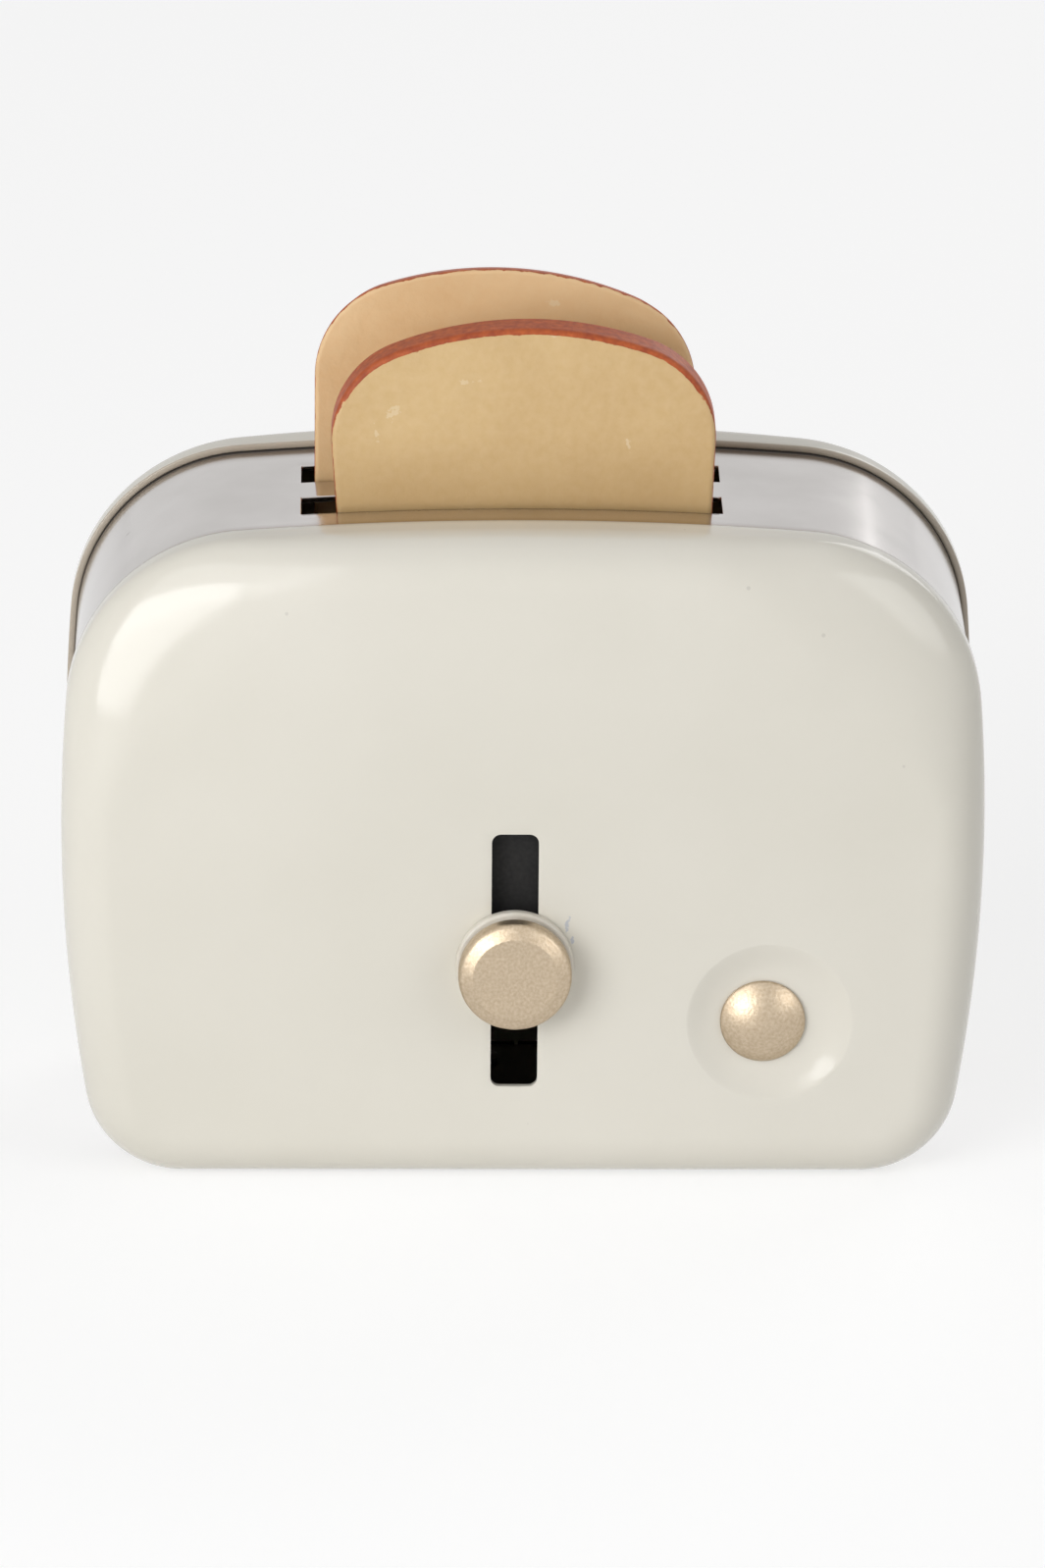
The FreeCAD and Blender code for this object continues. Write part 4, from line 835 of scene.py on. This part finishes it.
class Shader(Nodes):
    """A material under construction: its node tree and its Principled BSDF."""

    def __init__(self, name, colour, roughness, metallic=0.0):
        self.material = bpy.data.materials.new(name)
        self.material.use_nodes = True
        super().__init__(self.material.node_tree)
        self.surface = self.tree.nodes["Principled BSDF"]
        self.give("Base Color", colour)
        self.give("Roughness", roughness)
        self.give("Metallic", metallic)
        self.coordinates = self.node("ShaderNodeTexCoord").outputs["Object"]

    def give(self, name, source):
        """Feeds one of the surface's sockets."""
        self.feed(source, self.surface.inputs[name])

    def effect(self, group, **values):
        """Places a shared effect on the object's coordinates with its own values."""
        made = self.node("ShaderNodeGroup", node_tree=group)
        self.feed(self.coordinates, made.inputs["Vector"])
        for key, value in values.items():
            made.inputs[key.replace("_", " ")].default_value = value
        return made.outputs[0]

    def part(self, axis):
        """One of the object's coordinates."""
        parts = self.node("ShaderNodeSeparateXYZ")
        self.feed(self.coordinates, parts.inputs[0])
        return parts.outputs[axis]

    def from_middle(self):
        """Distance in front of or behind the case's mid plane."""
        return self.calculate("ABSOLUTE", self.calculate("SUBTRACT", self.part("Y"), MID_Y))

    def worn(self, colour, places, depth, under, where=None):
        """A colour worn by depth towards the one under it at the given places, and only where a mask says."""
        for place in places:
            middle_x, middle_z, reach_x, reach_z = np.array(place) * MM
            mask = self.effect(SCUFF, Middle_X=middle_x, Middle_Z=middle_z, Reach_X=reach_x,
                               Reach_Z=reach_z)
            if where is not None:
                mask = self.calculate("MULTIPLY", mask, where)
            colour = self.blend(self.between(mask, 0.0, depth), colour, under)
        return colour

    def bump(self, height, distance):
        made = self.node("ShaderNodeBump")
        made.inputs["Distance"].default_value = distance
        self.feed(height, made.inputs["Height"])
        self.give("Normal", made.outputs["Normal"])


def mottle_effect():
    """Soft clouds from 0 to 1: layered noise with its contrast raised."""
    mottle = Effect("mottle", "Value", {"Scale": 100.0, "Detail": 3.0})
    noise = mottle.noise(mottle.inputs["Vector"], mottle.inputs["Scale"], mottle.inputs["Detail"])
    mottle.feed(mottle.share(noise, 0.3, 0.7, "LINEAR"), mottle.output)
    return mottle.tree


def specks_effect():
    """Small round specks: 1 inside a radius about scattered points, with a soft edge."""
    specks = Effect("specks", "Mask", {"Scale": 200.0, "Radius": 0.05})
    cells = specks.node("ShaderNodeTexVoronoi")
    specks.feed(specks.inputs["Vector"], cells.inputs["Vector"])
    specks.feed(specks.inputs["Scale"], cells.inputs["Scale"])
    ratio = specks.calculate("DIVIDE", cells.outputs["Distance"], specks.inputs["Radius"])
    specks.feed(specks.share(ratio, 1.3, 0.7), specks.output)
    return specks.tree


def brushed_effect():
    """Fine streaks: noise stretched many times along X."""
    brushed = Effect("brushed", "Value", {"Scale": 400.0, "Stretch": 0.04})
    parts = brushed.node("ShaderNodeSeparateXYZ")
    brushed.feed(brushed.inputs["Vector"], parts.inputs["Vector"])
    joined = brushed.node("ShaderNodeCombineXYZ")
    shrunk = brushed.calculate("MULTIPLY", parts.outputs["X"], brushed.inputs["Stretch"])
    brushed.feed(shrunk, joined.inputs["X"])
    brushed.feed(parts.outputs["Y"], joined.inputs["Y"])
    brushed.feed(parts.outputs["Z"], joined.inputs["Z"])
    brushed.feed(brushed.noise(joined.outputs["Vector"], brushed.inputs["Scale"], 4.0), brushed.output)
    return brushed.tree


def scuff_effect():
    """A worn place: ragged noise inside an ellipse about a point. Its middle and reach are across and up."""
    sliders = {"Middle X": 0.0, "Middle Z": 0.0, "Reach X": 0.001, "Reach Z": 0.001, "Scale": 2500.0}
    scuff = Effect("scuff", "Mask", sliders)
    parts = scuff.node("ShaderNodeSeparateXYZ")
    scuff.feed(scuff.inputs["Vector"], parts.inputs["Vector"])
    squares = []
    for axis in ("X", "Z"):
        share = scuff.calculate("SUBTRACT", parts.outputs[axis], scuff.inputs["Middle " + axis])
        share = scuff.calculate("DIVIDE", share, scuff.inputs["Reach " + axis])
        squares.append(scuff.calculate("MULTIPLY", share, share))
    distance = scuff.calculate("SQRT", scuff.calculate("ADD", *squares))
    noise = scuff.noise(scuff.inputs["Vector"], scuff.inputs["Scale"], 4.0)
    ragged = scuff.calculate("SUBTRACT", noise, scuff.calculate("MULTIPLY", distance, 0.28))
    scuff.feed(scuff.share(ragged, 0.3, 0.4), scuff.output)
    return scuff.tree


MOTTLE = mottle_effect()
SPECKS = specks_effect()
BRUSHED = brushed_effect()
SCUFF = scuff_effect()


def enamel_paint():
    """Glossy cream enamel: faint clouds in the colour, sparse specks, wear right of the knob's washer, a
    dull beige cut edge at the rim and a very fine orange peel."""
    paint = Shader("cream_enamel", to_linear(226, 222, 211), 0.14)
    clouds = paint.effect(MOTTLE, Scale=45.0)
    colour = paint.blend(clouds, to_linear(224, 220, 208), to_linear(229, 225, 214))
    specks = paint.effect(SPECKS, Scale=190.0, Radius=0.028)
    colour = paint.blend(paint.between(specks, 0.0, 0.22), colour, to_linear(150, 144, 136))
    at_front = paint.share(paint.part("Y"), MID_Y, MID_Y - MM)
    colour = paint.worn(colour, ENAMEL_WEAR, 0.8, to_linear(186, 190, 200), at_front)
    rim = paint.share(paint.from_middle(), *(RIM + ahead for ahead in DULL_EDGE))
    paint.give("Base Color", paint.blend(rim, colour, to_linear(184, 173, 157)))
    haze = paint.effect(MOTTLE, Scale=130.0)
    paint.give("Roughness", paint.between(haze, 0.12, 0.16))
    paint.bump(paint.effect(MOTTLE, Scale=700.0, Detail=2.0), 0.004 * MM)
    return paint.material


def tin_finish():
    """Bright rolled tinplate: smudges in the colour and the gloss, small marks, faint rolling streaks, and
    near the rims a brown painted reflection of the shaded rims, ending in painted shade where the band goes
    under them."""
    tin = Shader("tinplate", to_linear(196, 192, 189), 0.16, 1.0)
    smudges = tin.effect(MOTTLE, Scale=120.0)
    colour = tin.blend(smudges, to_linear(190, 186, 183), to_linear(203, 199, 197))
    marks = tin.effect(SPECKS, Scale=160.0, Radius=0.035)
    colour = tin.blend(tin.between(marks, 0.0, 0.5), colour, to_linear(140, 132, 130))
    from_middle = tin.from_middle()
    # Painted reflection: towards each rim the tin turns brown, standing for the shells' shaded rims mirrored
    # in it.
    rim_reflection = tin.share(from_middle, *(RIM - inside_rim for inside_rim in PAINTED_RIM_REFLECTION))
    colour = tin.blend(tin.between(rim_reflection, 0.0, 0.75), colour, to_linear(118, 100, 82))
    # Painted shade: where the band goes under the shells it turns near black, matt and not metallic, standing
    # for the shade in the gap.
    gap_shade = tin.share(from_middle, *(RIM - inside_rim for inside_rim in PAINTED_GAP_SHADE))
    tin.give("Base Color", tin.blend(gap_shade, colour, to_linear(30, 24, 19)))
    tin.give("Metallic", tin.between(gap_shade, 1.0, 0.0))
    haze = tin.between(tin.effect(MOTTLE, Scale=60.0), 0.1, 0.2)
    tin.give("Roughness", tin.calculate("MAXIMUM", haze, tin.between(gap_shade, 0.0, 0.9)))
    tin.bump(tin.effect(BRUSHED, Scale=900.0, Stretch=0.03), 0.002 * MM)
    return tin.material


def gold_finish():
    """Pale gold plating: fine grain in the colour, a hazy gloss and a sandy surface."""
    gold = Shader("pale_gold", to_linear(222, 198, 164), 0.36, 1.0)
    grain = gold.effect(MOTTLE, Scale=4400.0, Detail=2.0)
    gold.give("Base Color", gold.blend(grain, to_linear(187, 168, 143), to_linear(205, 188, 164)))
    haze = gold.effect(MOTTLE, Scale=500.0)
    gold.give("Roughness", gold.between(haze, 0.36, 0.46))
    gold.bump(grain, 0.01 * MM)
    return gold.material


def washer_finish():
    """Cream washer material with faint clouds."""
    washer = Shader("cream_washer", to_linear(222, 216, 204), 0.35)
    clouds = washer.effect(MOTTLE, Scale=400.0)
    washer.give("Base Color", washer.blend(clouds, to_linear(214, 207, 193), to_linear(228, 223, 212)))
    washer.bump(clouds, 0.006 * MM)
    return washer.material


def slice_paint(name, face_low, face_high):
    """Painted wood: tan faces with soft clouds, light crumbs and scratches, painted shade darker towards the
    case, and an uneven red-brown crust with a ragged edge where the mesh says that it is painted."""
    paint = Shader(name, face_low, 0.55)
    clouds = paint.effect(MOTTLE, Scale=140.0, Detail=5.0)
    face = paint.blend(clouds, face_low, face_high)
    fine = paint.effect(MOTTLE, Scale=1500.0, Detail=3.0)
    face = paint.blend(paint.between(fine, 0.0, 0.18), face, to_linear(236, 212, 170))
    face = paint.worn(face, SLICE_SCRATCHES, 0.4, to_linear(238, 222, 190))
    # Painted shade: the faces darken towards the case's top, where the slots shade them.
    shade = paint.share(paint.part("Z"), *(CASE_HEIGHT + above for above in SLICE_SHADE))
    face = paint.blend(paint.between(shade, 0.0, 0.55), face, to_linear(176, 142, 92))
    dry = paint.effect(MOTTLE, Scale=1900.0, Detail=3.0)
    crust = paint.blend(dry, to_linear(149, 60, 20), to_linear(188, 90, 36))
    brushed_on = paint.node("ShaderNodeAttribute", attribute_name="crust").outputs["Fac"]
    ragged = paint.calculate("ADD", brushed_on, paint.between(fine, -0.3, 0.3))
    paint.give("Base Color", paint.blend(paint.share(ragged, 0.4, 0.6), face, crust))
    paint.give("Roughness", paint.between(clouds, 0.5, 0.62))
    paint.bump(fine, 0.02 * MM)
    return paint.material


def steel_finish(name, low, high, roughness):
    """Plain steel: fine brushing in the gloss and a slightly uneven colour."""
    steel = Shader(name, low, roughness, 1.0)
    steel.give("Base Color", steel.blend(steel.effect(MOTTLE, Scale=300.0), low, high))
    streaks = steel.effect(BRUSHED, Scale=1500.0, Stretch=0.05)
    steel.give("Roughness", steel.between(streaks, roughness - 0.08, roughness + 0.1))
    steel.bump(streaks, 0.003 * MM)
    return steel.material


def moulded_finish(name, low, high, roughness, scale):
    """Moulded or pressed material: soft clouds and a fine matt grain."""
    stuff = Shader(name, low, roughness)
    stuff.give("Base Color", stuff.blend(stuff.effect(MOTTLE, Scale=scale), low, high))
    grain = stuff.effect(MOTTLE, Scale=3000.0, Detail=2.0)
    stuff.give("Roughness", stuff.between(grain, roughness - 0.06, roughness + 0.06))
    stuff.bump(grain, 0.008 * MM)
    return stuff.material


def finish_nodes(finishes):
    """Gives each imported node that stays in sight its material."""
    for names, material in finishes:
        for name in names:
            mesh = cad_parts[name].data
            mesh.materials.clear()
            mesh.materials.append(material)


def plain_floor():
    """A pale floor that runs back out of sight. The camera and reflections see it near white."""
    mesh = bpy.data.meshes.new("floor")
    corners = [(x * FLOOR_SIZE, y * FLOOR_SIZE, 0) for x, y in ((-1, -1), (1, -1), (1, 1), (-1, 1))]
    mesh.from_pydata(corners, [], [(0, 1, 2, 3)])
    floor = bpy.data.objects.new("floor", mesh)
    bpy.context.scene.collection.objects.link(floor)
    paper = Shader("floor_paper", (0.8, 0.8, 0.8, 1), 0.9)
    seen = paper.seen()
    paper.give("Specular IOR Level", 0.1)
    paper.give("Base Color", paper.blend(seen, *((tone, tone, tone, 1) for tone in FLOOR_TONE)))
    paper.give("Emission Color", (1, 1, 1, 1))
    paper.give("Emission Strength", paper.calculate("MULTIPLY", seen, FLOOR_GLOW))
    mesh.materials.append(paper.material)


def studio_room():
    """An even light from all sides, which the camera and reflections see near white."""
    world = bpy.data.worlds.new("studio")
    bpy.context.scene.world = world
    world.use_nodes = True
    room = Nodes(world.node_tree)
    background = room.tree.nodes["Background"]
    room.feed((1, 1, 1, 1), background.inputs["Color"])
    room.feed(room.between(room.seen(), *ROOM_LIGHT), background.inputs["Strength"])


def softbox(name, place, aim, width, height, power):
    """A rectangular studio lamp at a place, turned towards a point."""
    lamp = bpy.data.lights.new(name, "AREA")
    lamp.shape = "RECTANGLE"
    lamp.size = width
    lamp.size_y = height
    lamp.energy = power
    holder = bpy.data.objects.new(name, lamp)
    bpy.context.scene.collection.objects.link(holder)
    holder.location = place
    holder.rotation_euler = (Vector(aim) - Vector(place)).to_track_quat("-Z", "Y").to_euler()


def photo_camera():
    """The camera: a long lens above the front, rolled a little. The lens follows from the image's long side
    in pixels and the focal length in pixels."""
    target = Vector((0.14, 1.575, 25.2)) * MM
    azimuth = math.radians(-1.05)
    elevation = math.radians(20.0)
    roll = math.radians(0.44)
    distance = 0.9
    focal_pixels = 12682
    long_side = 1598
    back = Vector((math.sin(azimuth) * math.cos(elevation), -math.cos(azimuth) * math.cos(elevation),
                   math.sin(elevation)))
    right = (-back).cross(Vector((0, 0, 1))).normalized()
    up = right.cross(-back)
    across = right * math.cos(roll) + up * math.sin(roll)
    upwards = -right * math.sin(roll) + up * math.cos(roll)
    lens = bpy.data.cameras.new("camera")
    lens.sensor_width = 36.0
    lens.lens = focal_pixels / long_side * lens.sensor_width
    lens.clip_start = 0.05
    lens.clip_end = 20.0
    camera = bpy.data.objects.new("camera", lens)
    bpy.context.scene.collection.objects.link(camera)
    turn = Matrix((across, upwards, back)).transposed().to_4x4()
    camera.matrix_world = Matrix.Translation(target + back * distance) @ turn
    bpy.context.scene.camera = camera


enamel = enamel_paint()
tin = tin_finish()
gold = gold_finish()
steel = steel_finish("plain_steel", to_linear(168, 166, 163), to_linear(186, 184, 181), 0.32)
spring = steel_finish("spring_steel", to_linear(120, 122, 128), to_linear(142, 144, 148), 0.28)
fibre = moulded_finish("fibre", to_linear(120, 62, 44), to_linear(138, 76, 54), 0.6, 900.0)
black = moulded_finish("black_steel", to_linear(16, 15, 15), to_linear(24, 23, 22), 0.7, 600.0)
nylon = moulded_finish("slider_nylon", to_linear(226, 224, 216), to_linear(236, 234, 228), 0.42, 250.0)
front_paint = slice_paint("front_slice_paint", to_linear(206, 172, 120), to_linear(218, 186, 134))
rear_paint = slice_paint("rear_slice_paint", to_linear(224, 185, 136), to_linear(236, 201, 154))

pressed_shell("front_case", "front_shell", -1, enamel, True)
pressed_shell("back_case", "back_shell", 1, enamel, False)
tin_band(tin)
gold_knob(gold)
cream_washer(washer_finish())
gold_dial(gold)
painted_slice("front_slice", "toast_front", "front_slice", front_paint, height=28.2 * MM, offset=0.3 * MM,
              roll=-1.0, lean=0.0, side=-1, taper=0.0, over_edge=0.2 * MM)
painted_slice("rear_slice", "toast_rear", "rear_slice", rear_paint, height=29.7 * MM, offset=-2.4 * MM,
              roll=3.0, lean=2.5, side=1, taper=0.6 * MM, over_edge=0.06 * MM)
finish_nodes((
    (("seam_strap",), tin),
    (("guide_channel", "toast_tray", "seam_rivets", "tray_rivets", "slider_rivet",
      "lever_stem", "lever_nut"), steel),
    (("spring_washer", "dial_spring_washer", "dial_clip"), spring),
    (("lifter_bracket",), black),
    (("inner_washer",), fibre),
    (("guide_slider",), nylon),
))

plain_floor()
studio_room()
for lamp in LAMPS:
    softbox(*lamp)
photo_camera()
bpy.context.scene.view_settings.view_transform = "Standard"
